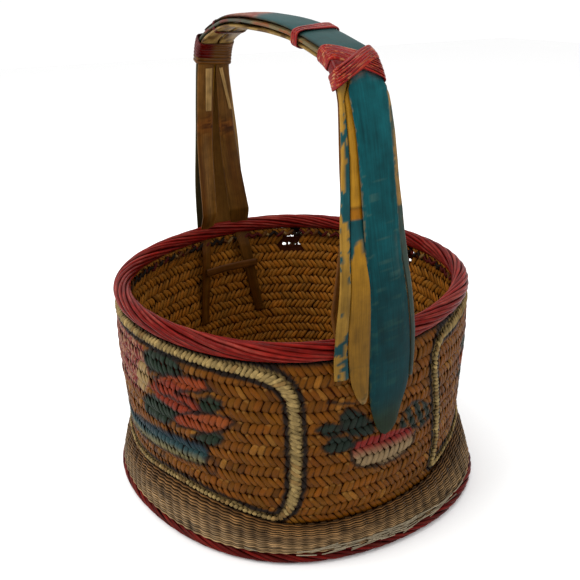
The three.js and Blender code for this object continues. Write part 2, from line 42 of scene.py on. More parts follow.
# ---------------------------------------------------------------- dimensions (mm)
RIM_Z, RIM_R = 182.1, 140.0
PLAN_A0 = math.radians(63)
PLAN_RIM = (-0.0038, 0.0054, 0.0149, 0.0020)
PLAN_FOOT = (0.0505, -0.0185, 0.0152, -0.0126)
WALL_OUT = np.array([[24, 142.6], [46, 143.4], [52, 144.6], [60, 145.0], [70, 145.4], [90, 146.1], [110, 146.9],
                     [130, 147.6], [150, 147.4], [160, 146.8], [168, 145.6], [174.2, 143.2]])
SKIRT_OUT = np.array([[10.4, 152.2], [20, 151.9], [30, 151.2], [36, 150.4], [42, 148.6], [47.5, 146.4]])
PROFILE = [[151.2, 76], [151.2, 100], [151.2, 130], [151.3, 160], [151.2, 182], [149.2, 198], [145.8, 217], [140, 269],
           [134.3, 304], [131, 329], [128.7, 343], [124, 355.5], [115.5, 366], [104, 371.8], [93, 374.7], [81, 377.6],
           [68, 380.4], [55, 383], [27, 386.4], [0, 388], [-30, 388.6], [-56, 386.8], [-79, 381.6], [-102, 374.4],
           [-112.5, 368.5], [-119, 360.5], [-123.5, 350], [-126.8, 338], [-129.4, 325], [-133.4, 304], [-138.5, 270],
           [-143, 217], [-147.5, 198], [-150.4, 182], [-151, 160], [-151.2, 130], [-151.2, 100], [-151.2, 76]]


def harmonic(a, h):
    t = a - PLAN_A0
    return h[0] * np.cos(2 * t) + h[1] * np.sin(2 * t) + h[2] * np.cos(4 * t) + h[3] * np.sin(4 * t)


def plan(a, z):
    w = np.clip((47 - np.asarray(z, float)) / 41, 0, 1)
    return 1 + (1 - w) * harmonic(a, PLAN_RIM) + w * harmonic(a, PLAN_FOOT)


WAIST = np.array([[0, 47], [10, 49], [20, 53], [30, 54], [38, 52.5], [45, 49.5], [52, 45.5], [60, 40], [66, 38.8], [90, 39]])


def waist(a):
    """height of the skirt's upper edge; it rises under the middle of each panel"""
    d = np.abs((np.degrees(a) + 92.5 + 180) % 360 - 180)
    d = np.minimum(d, 180 - d)
    h = 0
    for k in (-6, -3, 0, 3, 6):
        h = h + np.interp(np.abs(d + k), WAIST[:, 0], WAIST[:, 1]) / 5
    return h


def wall_r(a, z):
    return np.interp(z, WALL_OUT[:, 0], WALL_OUT[:, 1]) * plan(a, z)


def lin(c):
    c = np.asarray(c, float) / 255.0
    return np.where(c <= 0.04045, c / 12.92, ((c + 0.055) / 1.055) ** 2.4)


def smooth(a, b, x):
    k = np.clip((np.asarray(x, float) - a) / (b - a), 0, 1)
    return k * k * (3 - 2 * k)


# value noise, vectorised and seeded
def _hash(ix, iy, iz, seed):
    h = (ix * 374761393 + iy * 668265263 + iz * 2147483647 + seed * 1274126177) & 0xFFFFFFFF
    h = ((h ^ (h >> 13)) * 1274126177) & 0xFFFFFFFF
    return ((h ^ (h >> 16)) & 0xFFFF) / 65535.0


def vnoise(x, y, z=0.0, seed=1):
    x, y, z = np.broadcast_arrays(np.asarray(x, float), np.asarray(y, float), np.asarray(z, float))
    ix, iy, iz = np.floor(x).astype(np.int64), np.floor(y).astype(np.int64), np.floor(z).astype(np.int64)
    fx, fy, fz = x - ix, y - iy, z - iz
    fx, fy, fz = fx * fx * (3 - 2 * fx), fy * fy * (3 - 2 * fy), fz * fz * (3 - 2 * fz)
    r = 0
    for dx in (0, 1):
        for dy in (0, 1):
            for dz in (0, 1):
                w = (fx if dx else 1 - fx) * (fy if dy else 1 - fy) * (fz if dz else 1 - fz)
                r = r + w * _hash(ix + dx, iy + dy, iz + dz, seed)
    return r


def fbm(x, y, z=0.0, seed=1, o=3):
    s, a, t = 0, 1.0, 0
    for k in range(o):
        s = s + a * vnoise(np.asarray(x) * 2 ** k, np.asarray(y) * 2 ** k, np.asarray(z) * 2 ** k, seed + k)
        t += a
        a *= 0.5
    return s / t


# ---------------------------------------------------------------- mesh helpers
def quads_of(k, n, m, closed=False, cap=True):
    """faces for k sweeps of n rings with m points each"""
    i = np.arange(n if closed else n - 1)
    j = np.arange(m)
    I, J = np.meshgrid(i, j, indexing="ij")
    I2, J2 = (I + 1) % n, (J + 1) % m
    q = np.stack([I * m + J, I * m + J2, I2 * m + J2, I2 * m + J], -1).reshape(-1, 4)
    if not closed and cap:
        e = []
        for t in range(1, m - 2, 2):
            e.append([0, t + 2, t + 1, t])
            o = (n - 1) * m
            e.append([o, o + t, o + t + 1, o + t + 2])
        q = np.vstack([q, np.array(e)])
    off = (np.arange(k) * n * m)[:, None, None]
    return (q[None] + off).reshape(-1, 4)


def make(name, V, Q, col=None, gc=None, mat=None, replaces=(), shade=True, body="root"):
    V = np.asarray(V, float).reshape(-1, 3)
    Q = np.asarray(Q, np.int64)
    # orient outwards by signed volume
    a, b, c, d = (V[Q[:, i]] for i in range(4))
    vol = (np.einsum("ij,ij->i", a, np.cross(b, c)) + np.einsum("ij,ij->i", a, np.cross(c, d))).sum()
    if vol < 0:
        Q = Q[:, ::-1]
    me = bpy.data.meshes.new(name)
    me.vertices.add(len(V))
    me.vertices.foreach_set("co", (V * MM).astype(np.float32).ravel())
    me.loops.add(len(Q) * 4)
    me.loops.foreach_set("vertex_index", Q.astype(np.int32).ravel())
    me.polygons.add(len(Q))
    me.polygons.foreach_set("loop_start", np.arange(0, len(Q) * 4, 4, dtype=np.int32))
    me.polygons.foreach_set("loop_total", np.full(len(Q), 4, np.int32))
    me.update(calc_edges=True)
    if shade:
        me.polygons.foreach_set("use_smooth", np.ones(len(Q), bool))
    if col is not None:
        at = me.attributes.new("Col", "FLOAT_COLOR", "POINT")
        c4 = np.ones((len(V), 4), np.float32)
        c4[:, :3] = np.clip(np.asarray(col).reshape(-1, 3), 0, 1)
        at.data.foreach_set("color", c4.ravel())
    if gc is not None:
        at = me.attributes.new("gc", "FLOAT_VECTOR", "POINT")
        at.data.foreach_set("vector", np.asarray(gc, np.float32).reshape(-1, 3).ravel())
    o = bpy.data.objects.new(name, me)
    bpy.context.scene.collection.objects.link(o)
    if mat is not None:
        me.materials.append(mat)
    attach(o, body)
    if replaces:
        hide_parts(*replaces)
    return o


# ---------------------------------------------------------------- materials
def fibre_material(name, rough, coat=0.0, coat_rough=0.2, along=0.12, across=1.6, streak=0.35, bump=0.15, bump_dist=0.25,
                   spec=0.4, blotch=0.25, rough_var=0.12):
    """Base colour comes from the piece's colour attribute; fine streaks run along its grain coordinate."""
    m = bpy.data.materials.new(name)
    m.use_nodes = True
    nt = m.node_tree
    for n in list(nt.nodes):
        nt.nodes.remove(n)
    out = nt.nodes.new("ShaderNodeOutputMaterial")
    bs = nt.nodes.new("ShaderNodeBsdfPrincipled")
    nt.links.new(bs.outputs[0], out.inputs[0])
    col = nt.nodes.new("ShaderNodeAttribute"); col.attribute_name = "Col"
    gc = nt.nodes.new("ShaderNodeAttribute"); gc.attribute_name = "gc"
    mp = nt.nodes.new("ShaderNodeMapping"); mp.inputs["Scale"].default_value = (along, across, 1.0)
    nt.links.new(gc.outputs["Vector"], mp.inputs["Vector"])
    n1 = nt.nodes.new("ShaderNodeTexNoise"); n1.inputs["Scale"].default_value = 1.0
    n1.inputs["Detail"].default_value = 3.0; n1.inputs["Roughness"].default_value = 0.65
    nt.links.new(mp.outputs[0], n1.inputs["Vector"])
    r1 = nt.nodes.new("ShaderNodeMapRange")
    r1.inputs["From Min"].default_value = 0.3; r1.inputs["From Max"].default_value = 0.7
    r1.inputs["To Min"].default_value = 1 - streak; r1.inputs["To Max"].default_value = 1 + streak * 0.6
    nt.links.new(n1.outputs["Fac"], r1.inputs["Value"])
    n2 = nt.nodes.new("ShaderNodeTexNoise"); n2.inputs["Scale"].default_value = 0.11
    n2.inputs["Detail"].default_value = 4.0; n2.inputs["Roughness"].default_value = 0.6
    nt.links.new(gc.outputs["Vector"], n2.inputs["Vector"])
    r2 = nt.nodes.new("ShaderNodeMapRange")
    r2.inputs["From Min"].default_value = 0.3; r2.inputs["From Max"].default_value = 0.7
    r2.inputs["To Min"].default_value = 1 - blotch; r2.inputs["To Max"].default_value = 1 + blotch * 0.6
    nt.links.new(n2.outputs["Fac"], r2.inputs["Value"])
    mu = nt.nodes.new("ShaderNodeMath"); mu.operation = "MULTIPLY"
    nt.links.new(r1.outputs[0], mu.inputs[0]); nt.links.new(r2.outputs[0], mu.inputs[1])
    vm = nt.nodes.new("ShaderNodeVectorMath"); vm.operation = "SCALE"
    nt.links.new(col.outputs["Color"], vm.inputs[0]); nt.links.new(mu.outputs[0], vm.inputs["Scale"])
    nt.links.new(vm.outputs[0], bs.inputs["Base Color"])
    rr = nt.nodes.new("ShaderNodeMapRange")
    rr.inputs["To Min"].default_value = max(0.05, rough - rough_var); rr.inputs["To Max"].default_value = min(1, rough + rough_var)
    nt.links.new(n1.outputs["Fac"], rr.inputs["Value"]); nt.links.new(rr.outputs[0], bs.inputs["Roughness"])
    bs.inputs["Specular IOR Level"].default_value = spec
    bs.inputs["Coat Weight"].default_value = coat
    bs.inputs["Coat Roughness"].default_value = coat_rough
    bp = nt.nodes.new("ShaderNodeBump"); bp.inputs["Strength"].default_value = bump
    bp.inputs["Distance"].default_value = bump_dist * MM
    nt.links.new(n1.outputs["Fac"], bp.inputs["Height"]); nt.links.new(bp.outputs[0], bs.inputs["Normal"])
    return m


M_WEAVE = fibre_material("weave_splint", 0.5, coat=0.0, along=0.25, across=2.2, streak=0.3, bump=0.25, spec=0.06, blotch=0.2)
M_WEAVE_IN = fibre_material("weave_splint_inside", 0.55, along=0.25, across=2.2, streak=0.3, bump=0.25, spec=0.08, blotch=0.25)
M_CORE = fibre_material("wall_core_cane", 0.85, along=0.3, across=0.3, streak=0.4, bump=0.2, spec=0.05)
M_BORDER = fibre_material("border_splint", 0.55, along=0.3, across=2.0, streak=0.35, bump=0.3, spec=0.07, blotch=0.3)
M_SKIRT = fibre_material("skirt_weaver", 0.55, along=0.08, across=1.5, streak=0.4, bump=0.2, spec=0.07, blotch=0.3)
M_RED = fibre_material("red_cane", 0.36, coat=0.02, coat_rough=0.15, along=0.05, across=1.9, streak=0.5, bump=0.35, spec=0.045, blotch=0.35)
M_REDBIND = fibre_material("red_binding_cane", 0.26, coat=0.07, coat_rough=0.1, along=0.05, across=1.8, streak=0.5, bump=0.35, spec=0.1, blotch=0.35)
M_TEAL = fibre_material("teal_paint", 0.5, coat=0.0, along=0.03, across=0.9, streak=0.28, bump=0.3, bump_dist=0.35, spec=0.06, blotch=0.2)
M_OCHRE = fibre_material("ochre_bamboo", 0.42, coat=0.05, coat_rough=0.2, along=0.03, across=1.1, streak=0.25, bump=0.25, spec=0.07, blotch=0.2)
M_BROWN = fibre_material("brown_bamboo", 0.45, coat=0.05, coat_rough=0.25, along=0.025, across=0.9, streak=0.4, bump=0.3, spec=0.07, blotch=0.25)
M_DARK = fibre_material("dark_cane", 0.65, along=0.2, across=1.5, streak=0.4, bump=0.3, spec=0.1)

# colours (linear)
K_WEAVE = lin((92, 51, 3))
K_WEAVE_IN = lin((148, 92, 27))
K_RED = lin((108, 16, 9))
K_TEAL = lin((8, 63, 67))
K_OCHRE = lin((158, 114, 40))
K_BROWN = lin((109, 65, 17))
K_CREAM = lin((136, 114, 70))
K_BLACK = lin((16, 12, 10))
K_TAN = lin((132, 106, 70))

# ---------------------------------------------------------------- painted decoration
# Outlines in (degrees from the panel's centre line, height in mm); a simple folk design of flowers, leaves and a bowl.
PANEL_C = (-92.5, 88.0)
HALF = 65.5
ZTOP, ZBOT = 168.5, 51.5
SHAPES = {
    "leaf1": [(15.3, 156.8), (19.3, 163.3), (25.6, 165.6), (31.1, 162.8), (32.9, 156.5), (29.6, 152.4), (23.8, 148.5), (17.8, 145.4)],
    "petalA": [(20.1, 140.7), (26.7, 149.1), (34.7, 155.8), (40.4, 155.5), (42.3, 150.2), (39.1, 146.7), (33.1, 143.2), (29, 136.7),
               (35.4, 136.8), (38.7, 132.7), (37.4, 127.3), (32.7, 131.7), (27.4, 132.4), (22.8, 130.6)],
    "petalB": [(20, 137.6), (28, 145.5), (34.3, 141.5), (38.7, 132.7), (37.6, 126.9), (30.9, 121.3), (22.3, 124.2), (18.1, 129.9)],
    "leaf2": [(12, 112.1), (14.9, 120.2), (22.6, 127.4), (29.2, 126.9), (30.9, 121.3), (24.1, 105.1), (19, 103.7), (13.1, 102.5)],
    "leafs": [(38.9, 139.7), (42.3, 144.9), (45.4, 142.8), (45.8, 137.6), (42, 131), (38.7, 131.2)],
    "petalC": [(27.7, 115.2), (34.9, 125.1), (43, 130.3), (47.1, 130.2), (49.2, 127.2), (45.8, 119.4), (40.2, 112.3), (34.2, 111.3), (28.8, 108.8)],
    "leaf3": [(34.5, 104.1), (40.2, 112.9), (44.6, 114.2), (45.5, 110.5), (42, 101.9), (37.3, 99.3)],
    "bowl": [(0, 84), (11.9, 91.4), (21.8, 96.2), (30.9, 98.9), (37.9, 99.8), (40.1, 97.3), (38.3, 81.9), (31.2, 79.1), (22, 77.6), (9.7, 72.2), (0, 70)],
    "pink": [(-1, 166), (7, 165), (14.8, 161.8), (18, 148.4), (16.8, 129.9), (12.8, 119.2), (6.8, 117.8), (-1, 116)],
    "cream": [(12.2, 148), (16.3, 149.5), (17.8, 136.8), (14.2, 122.3), (9.7, 121.5), (10, 133.8)],
}
# handle zone: degrees from the zone's centre line
ZONE_C = (-2.5, 177.5)
ZSHAPES = {
    "lobe1": [(-12.2, 133.1), (-9.9, 138.6), (-5.4, 131.6), (-2.1, 120.5), (-1.3, 111.1), (-5.1, 111.4), (-9.2, 115.8), (-11.7, 121.6)],
    "lobe2": [(-18.4, 124.6), (-15.9, 129.3), (-12.2, 126.2), (-11.2, 118.5), (-14, 116.6), (-16.7, 118.9)],
    "lobe3": [(-16.7, 108.2), (-14, 115.7), (-9.2, 114.4), (-7.6, 106), (-11, 102.4), (-14.8, 101.5)],
    "rleaf": [(7.6, 108), (8.8, 118.6), (12, 125.3), (16.8, 121.4), (23.0, 109.4), (22.6, 98.8), (17.4, 96.5), (11, 101.3)],
    "fruit": [(-8.5, 100.7), (-7.1, 107.1), (-1.8, 108.6), (5.3, 107.6), (12.4, 102), (15.1, 93.2), (14, 83.7), (9, 80.6), (2.4, 80.3),
              (-3.5, 83.1), (-6.8, 88.9), (-8.1, 94.5)],
}
DEG = math.pi * 147 / 180     # mm per degree on the wall


def poly_sd(x, y, pts):
    """signed distance (negative inside) from points to a polygon, in mm"""
    P = np.array(pts, float) * np.array([DEG, 1.0])
    x = np.asarray(x, float) * DEG
    y = np.asarray(y, float)
    d = np.full(x.shape, 1e9)
    inside = np.zeros(x.shape, bool)
    n = len(P)
    for i in range(n):
        ax, ay = P[i]
        bx, by = P[(i + 1) % n]
        ex, ey = bx - ax, by - ay
        t = np.clip(((x - ax) * ex + (y - ay) * ey) / (ex * ex + ey * ey), 0, 1)
        d = np.minimum(d, np.hypot(x - ax - t * ex, y - ay - t * ey))
        c = ((ay > y) != (by > y)) & (x < (bx - ax) * (y - ay) / (by - ay + 1e-12) + ax)
        inside ^= c
    return np.where(inside, -d, d)


# centre lines of the two panel borders: (degrees from the panel's centre, height, half width)
_SIDE = [(60.4, 43.0, 2.6), (64.0, 56, 3.7), (65.5, 72, 4.0), (65.9, 95, 4.0), (65.9, 125, 4.0), (65.5, 146.5, 4.0), (64.1, 157, 4.3), (61.6, 164.0, 4.6)]
_TOP = [(56.6, 168.0, 3.8), (51.9, 169.6, 3.4), (45, 170.6, 3.2), (38, 171.0, 3.2), (30, 171.2, 3.2), (20, 171.3, 3.2), (10, 170.9, 3.2), (0, 170.8, 3.2)]
_BOT = [(0, 50.8, 2.2), (10, 53.2, 2.2), (20, 57.2, 2.2), (30, 57.9, 2.2), (38, 55.8, 2.2), (45.8, 52.8, 2.2), (53, 48.0, 2.3)]
_SIDE_L = [(-63.8, 45.5, 2.6), (-63.2, 56, 3.0), (-62.5, 70, 3.1), (-63.6, 90, 3.1), (-65.2, 111, 3.0), (-67.4, 132, 3.0), (-68.6, 150, 3.0), (-67.6, 159, 3.0), (-64.6, 166.5, 3.0)]
_mir = lambda L: [(-x, z, w) for x, z, w in reversed(L)]
LOOPS = [np.array(_SIDE + _TOP + _mir(_TOP)[1:] + _mir(_SIDE) + _mir(_BOT)[:-1] + _BOT, float),
         np.array(_SIDE + _TOP + _mir(_TOP)[1:] + _SIDE_L[::-1] + _mir(_BOT)[:-1] + _BOT, float)]


def resample_loop(ci, step):
    L0 = LOOPS[ci]
    P = np.column_stack([L0[:, 0] * DEG, L0[:, 1], L0[:, 2]])
    Q = np.vstack([P, P[:1]])
    L = np.concatenate([[0], np.cumsum(np.hypot(*(np.diff(Q[:, :2], axis=0)).T))])
    n = int(round(L[-1] / step))
    t = np.linspace(0, L[-1], n, endpoint=False)
    out = np.column_stack([np.interp(t, L, Q[:, k]) for k in range(3)])
    for _ in range(3):
        out[:, :2] = 0.5 * out[:, :2] + 0.25 * (np.roll(out[:, :2], 1, 0) + np.roll(out[:, :2], -1, 0))
    return out


_LP = [resample_loop(0, 3.0), resample_loop(1, 3.0)]


def loop_dist(ci, x, y):
    """distance in mm to the border's centre line, and its half width there"""
    X = np.asarray(x, float) * DEG
    Y = np.asarray(y, float)
    best = np.full(X.shape, 1e9)
    w = np.zeros(X.shape)
    LP = _LP[ci]
    n = len(LP)
    for i in range(n):
        a, b = LP[i], LP[(i + 1) % n]
        ex, ey = b[0] - a[0], b[1] - a[1]
        t = np.clip(((X - a[0]) * ex + (Y - a[1]) * ey) / (ex * ex + ey * ey), 0, 1)
        d = np.hypot(X - a[0] - t * ex, Y - a[1] - t * ey)
        k = d < best
        best = np.where(k, d, best)
        w = np.where(k, a[2], w)
    return best, w


def wrapdeg(a):
    return (a + 180.0) % 360.0 - 180.0


def paint(a, z, base):
    """colour of the outside of the wall at angle a (rad) and height z (mm), over the base colour"""
    ad = np.degrees(a)
    col = base.copy()
    j1 = (fbm(ad * 0.9, z * 0.35, 0, 5) - 0.5)
    j2 = (fbm(ad * 0.9, z * 0.35, 9, 6) - 0.5)
    speck = vnoise(ad * 1.9, z * 0.75, 3, 8)
    worn = fbm(ad * 1.3, z * 0.55, 4, 12)

    def put(mask, c, k=1.0):
        kk = (mask * k)[..., None]
        col[:] = col * (1 - kk) + np.asarray(c) * kk

    for ci, pc in enumerate(PANEL_C):
        da0 = wrapdeg(ad - pc)
        near = np.abs(da0) < HALF + 8
        if not near.any():
            continue
        for mirror in (1, -1):
            da = da0 * mirror + j1 * 1.0
            zz = z + j2 * 3.0 + (0 if mirror == 1 else 1.5)
            half = near & (da > (-0.4 if mirror == 1 else 0.0))
            sd = {k: np.where(half, poly_sd(da, zz, p), 1e9) for k, p in SHAPES.items()}
            fill = lambda k: np.clip(0.5 - sd[k] / 1.2, 0, 1)
            line = lambda k, w=0.9: np.clip(1.9 - np.abs(sd[k] - 0.4) / (0.85 * w), 0, 1)
            # pink speckled flower
            f = fill("pink")
            c = np.where((speck > 0.62)[..., None], lin((136, 100, 74)), np.where((speck < 0.36)[..., None], lin((84, 20, 22)), lin((112, 44, 38))))
            put(f, c, 0.92)
            put(fill("cream"), lin((130, 108, 68)), 0.9)
            put(line("cream", 0.8), lin((84, 30, 24)), 0.35)
            for k in ("leaf1", "leaf2", "leafs", "leaf3"):
                g = lin((13, 34, 24)) * (0.6 + 0.8 * worn)[..., None]
                put(fill(k), g, 0.95)
                put(line(k, 1.1), K_BLACK, 0.8)
            for k, c1 in (("petalA", (116, 46, 16)), ("petalB", (106, 34, 14))):
                put(fill(k), lin(c1) * (0.8 + 0.45 * worn)[..., None], 0.93)
            put(line("petalA", 1.2), K_BLACK, 0.85)
            put(line("petalB", 0.8), lin((60, 14, 10)), 0.5)
            f = fill("petalC")
            g = np.clip((da - 30) / 20, 0, 1)
            put(f, lin((112, 38, 14)) * (1 - g)[..., None] + lin((116, 58, 20)) * g[..., None], 0.9)
            put(line("petalC", 1.2), K_BLACK, 0.85)
            f = fill("bowl")
            top = np.interp(da, [0, 12, 22, 31, 38, 40], [85, 91.5, 96, 99, 99.8, 97.3])
            bot = np.interp(da, [0, 10, 22, 31, 38.5], [70, 72.2, 77.6, 79.1, 82])
            g = np.clip((top - zz) / (top - bot + 1e-6), 0, 1)
            cb = np.where((g < 0.5)[..., None], lin((5, 26, 40)) * (1 - 2 * g)[..., None] + lin((18, 53, 56)) * (2 * g)[..., None],
                          lin((18, 53, 56)) * (2 - 2 * g)[..., None] + lin((110, 98, 60)) * (2 * g - 1)[..., None])
            put(f, cb, 0.95)
            put(line("bowl", 1.2), K_BLACK, 0.85)
            # bowl's foot and a fallen petal
            ft = np.clip(1 - np.abs(np.hypot((da - 17.5) * DEG / 7.0, (zz - 71.5) / 4.2) - 1) * 2.4, 0, 1) * (zz < 73.5)
            put(np.where(half, ft, 0), K_BLACK, 0.8)
            ft = np.clip(1 - np.abs(np.hypot((da - 40.5) * DEG / 5.0, (zz - 83) / 8.0) - 1) * 2.2, 0, 1) * (da > 38.5)
            put(np.where(half, ft, 0), K_BLACK, 0.7)
        # border: cream band with black lines either side
        d, w = loop_dist(ci, np.where(near, da0, 999.0), z)
        put(np.where(near, np.clip((w + 0.6 - d) / 0.8, 0, 1), 0), K_CREAM * 0.7, 0.95)
        ln = np.clip(2.6 - np.abs(d - (w + 2.1) + 1.2 * j1) / 0.95, 0, 1)
        put(np.where(near, ln, 0), K_BLACK, 0.96)
    for pc in ZONE_C:
        da = wrapdeg(ad - pc) + j1 * 1.0
        zz = z + j2 * 3.0
        near = np.abs(da) < 26
        if not near.any():
            continue
        sd = {k: np.where(near, poly_sd(da, zz, p), 1e9) for k, p in ZSHAPES.items()}
        for k in ("lobe1", "lobe2", "lobe3", "rleaf"):
            f = np.clip(0.5 - sd[k] / 1.2, 0, 1)
            if k == "rleaf":      # several small leaflets with weave showing between them
                f = f * np.clip(1.6 - 2.4 * np.abs(np.sin(da * 0.85 + zz * 0.16)) ** 6, 0, 1)
            put(f, lin((12, 30, 25)) * (0.6 + 0.8 * worn)[..., None], 0.95)
            put(np.clip(1.5 - np.abs(sd[k]) / 1.0, 0, 1), K_BLACK, 0.75)
        f = np.clip(0.5 - sd["fruit"] / 1.2, 0, 1)
        ax = np.interp(da, [-8.5, 15], [96.5, 92.0]) + 1.5
        g = np.clip((ax + 4 - zz) / 9, 0, 1)
        put(f, lin((104, 24, 22)) * (1 - g)[..., None] + lin((118, 98, 70)) * g[..., None], 0.95)
        o = np.clip(1.8 - np.abs(sd["fruit"] - 1.0) / 1.1, 0, 1) * ((zz < ax + 2) | (da < -5))
        put(o, K_BLACK, 0.85)
        # twig
        tw = np.clip(1.6 - np.abs(zz - np.interp(da, [-15.5, -8], [146.0, 141.5])) / 1.1, 0, 1) * ((da > -15.8) & (da < -8.0))
        put(tw, K_BLACK, 0.85)
    # black band just below the rim
    put(np.clip((z - 172.6) / 1.2, 0, 1), K_BLACK, 0.9)
    return col


# ---------------------------------------------------------------- woven wall
NCOL = 184
ROW_H = 9.3
ROWS = [(40.65 + ROW_H * k, (-1 if k % 2 == 0 else 1)) for k in range(16)]      # (height, +1 "/" or -1 "\")
HOLES = np.array([(154.0, 165.5), (152.2, 165.4), (150.5, 166.1), (148.7, 166.9), (155.7, 156.0), (153.3, 155.8), (151.5, 155.7),
                  (149.4, 156.5), (96.6, 168.2), (98.8, 159.4)])


def near_hole(a, z, r):
    ad = np.degrees(a)
    k = np.zeros(np.shape(a), bool)
    for ha, hz in HOLES:
        k |= np.hypot(wrapdeg(ad - ha) * DEG, z - hz) < r
    return k


def stitches(inside=False):
    n, m = (6, 6) if inside else (9, 8)
    t = np.linspace(-1, 1, n)
    pitch = 2 * math.pi * 146 / NCOL
    ph = 2 * math.pi * (np.arange(m) + 0.5) / m
    A, Z, TH, L, W = [], [], [], [], []
    for zi, s in ROWS:
        a = 2 * math.pi * (np.arange(NCOL) + (0.5 if s > 0 else 0.0) + (0.25 if inside else 0)) / NCOL
        k = len(a)
        A.append(a + rng.normal(0, 0.0022, k))
        Z.append(np.full(k, zi) + rng.normal(0, 0.35, k))
        if inside:
            th = -s * math.radians(36)
            TH.append(np.full(k, th) + rng.normal(0, 0.06, k))
            L.append(np.full(k, 10.4 / math.cos(th)) + rng.normal(0, 0.35, k)); W.append(np.full(k, 1.14 * pitch * math.cos(th)) + rng.normal(0, 0.2, k))
        else:
            th = math.radians(24) if s > 0 else -math.radians(38)
            TH.append(np.full(k, th) + rng.normal(0, 0.06, k))
            L.append(np.full(k, 10.4 / math.cos(th)) + rng.normal(0, 0.35, k)); W.append(np.full(k, 1.12 * pitch * math.cos(th)) + rng.normal(0, 0.2, k))
    A, Z, TH, L, W = map(np.concatenate, (A, Z, TH, L, W))
    keep = ~near_hole(A, Z, 5.3) & (Z < 173)
    if not inside:
        keep &= Z > waist(A) - 5.5
    A, Z, TH, L, W = A[keep], Z[keep], TH[keep], L[keep], W[keep]
    k = len(A)
    wob = rng.normal(0, 0.18, k)
    tt = t[None, :, None]
    pp = ph[None, None, :]
    taper = np.sqrt(np.clip(1 - 0.72 * tt ** 4, 0.05, 1))
    al = tt * L[:, None, None] / 2
    ac = np.cos(pp) * (W / 2)[:, None, None] * taper
    bend = 0.10 * (L[:, None, None]) * (tt ** 2 - 0.33) * np.sign(TH)[:, None, None] * 0.35
    du = np.sin(TH)[:, None, None] * al + np.cos(TH)[:, None, None] * (ac + bend)
    dz = np.cos(TH)[:, None, None] * al - np.sin(TH)[:, None, None] * (ac + bend)
    thick = 0.38 if inside else 0.52
    rise = (0.3 if inside else 0.5) * (1 - tt ** 2) - 0.85 * np.abs(tt) ** 3
    dr = np.sin(pp) * thick * taper + rise + wob[:, None, None]
    zz = Z[:, None, None] + dz
    aa0 = A[:, None, None] + du / 146.0
    zc = np.clip(zz, (waist(aa0) - 3.0) if not inside else 30.0, 174.6)
    if inside:
        r = wall_r(aa0, np.clip(zc, 48, 172)) - 4.9 - dr
    else:
        r = wall_r(aa0, zc) - 0.9 + dr
    V = np.stack([r * np.cos(aa0), r * np.sin(aa0), zc], -1)
    # colour
    tint = 1 + rng.normal(0, 0.1, k)
    hue = rng.normal(0, 0.05, k)
    base = (K_WEAVE_IN if inside else K_WEAVE)[None] * tint[:, None]
    base = base * np.stack([1 + hue, 1 + 0 * hue, 1 - 2 * hue], -1)
    pale = rng.random(k) < 0.05
    base[pale] = base[pale] * 0.7 + lin((150, 104, 40)) * 0.3
    dark = rng.random(k) < 0.08
    base[dark] *= 0.7
    C = np.broadcast_to(base[:, None, None, :], V.shape).copy()
    zone = fbm(np.degrees(aa0) * 0.06, zz * 0.03, 0, 21)
    C *= (0.82 + 0.36 * zone)[..., None]
    # thin pale tips where the splint is bent over
    tipc = (tt > 0.6) & (tt < 0.95) & (np.abs(np.cos(pp)) < 0.85) & (rng.random(k)[:, None, None] < 0.3)
    C = np.where((tipc & (np.sin(pp) > 0))[..., None], C * 0.6 + lin((150, 108, 52)) * 0.4, C)
    if not inside:
        C = paint(aa0, zz + 0 * aa0, C)
    # painted shade: the splint is darkened toward its ends and along its sides where it dives under its neighbours, and
    # slightly lighter along the crest
    side = np.abs(np.cos(pp)) > 0.85
    edge = rng.random(k)[:, None, None]
    one = np.where(np.cos(pp) > 0, 1.0, 0.55)
    C *= (1.06 - 0.32 * np.abs(tt) ** 3 + 0 * pp)[..., None]
    C *= np.where(side, 1 - (0.1 + 0.6 * edge ** 2) * one, 1.0 + 0 * edge)[..., None]

    G = np.stack([al + 0 * pp, ac + 0 * al, np.broadcast_to(rng.random(k)[:, None, None] * 50, al.shape[:1] + (n, m))], -1)
    Q = quads_of(k, n, m)
    return V, Q, C, G


V, Q, C, G = stitches(False)
make("weave_outside", V, Q, C, G, M_WEAVE, ("body_wall_weave",))
V, Q, C, G = stitches(True)
make("weave_inside", V, Q, C, G, M_WEAVE_IN, ("body_wall_weave",))


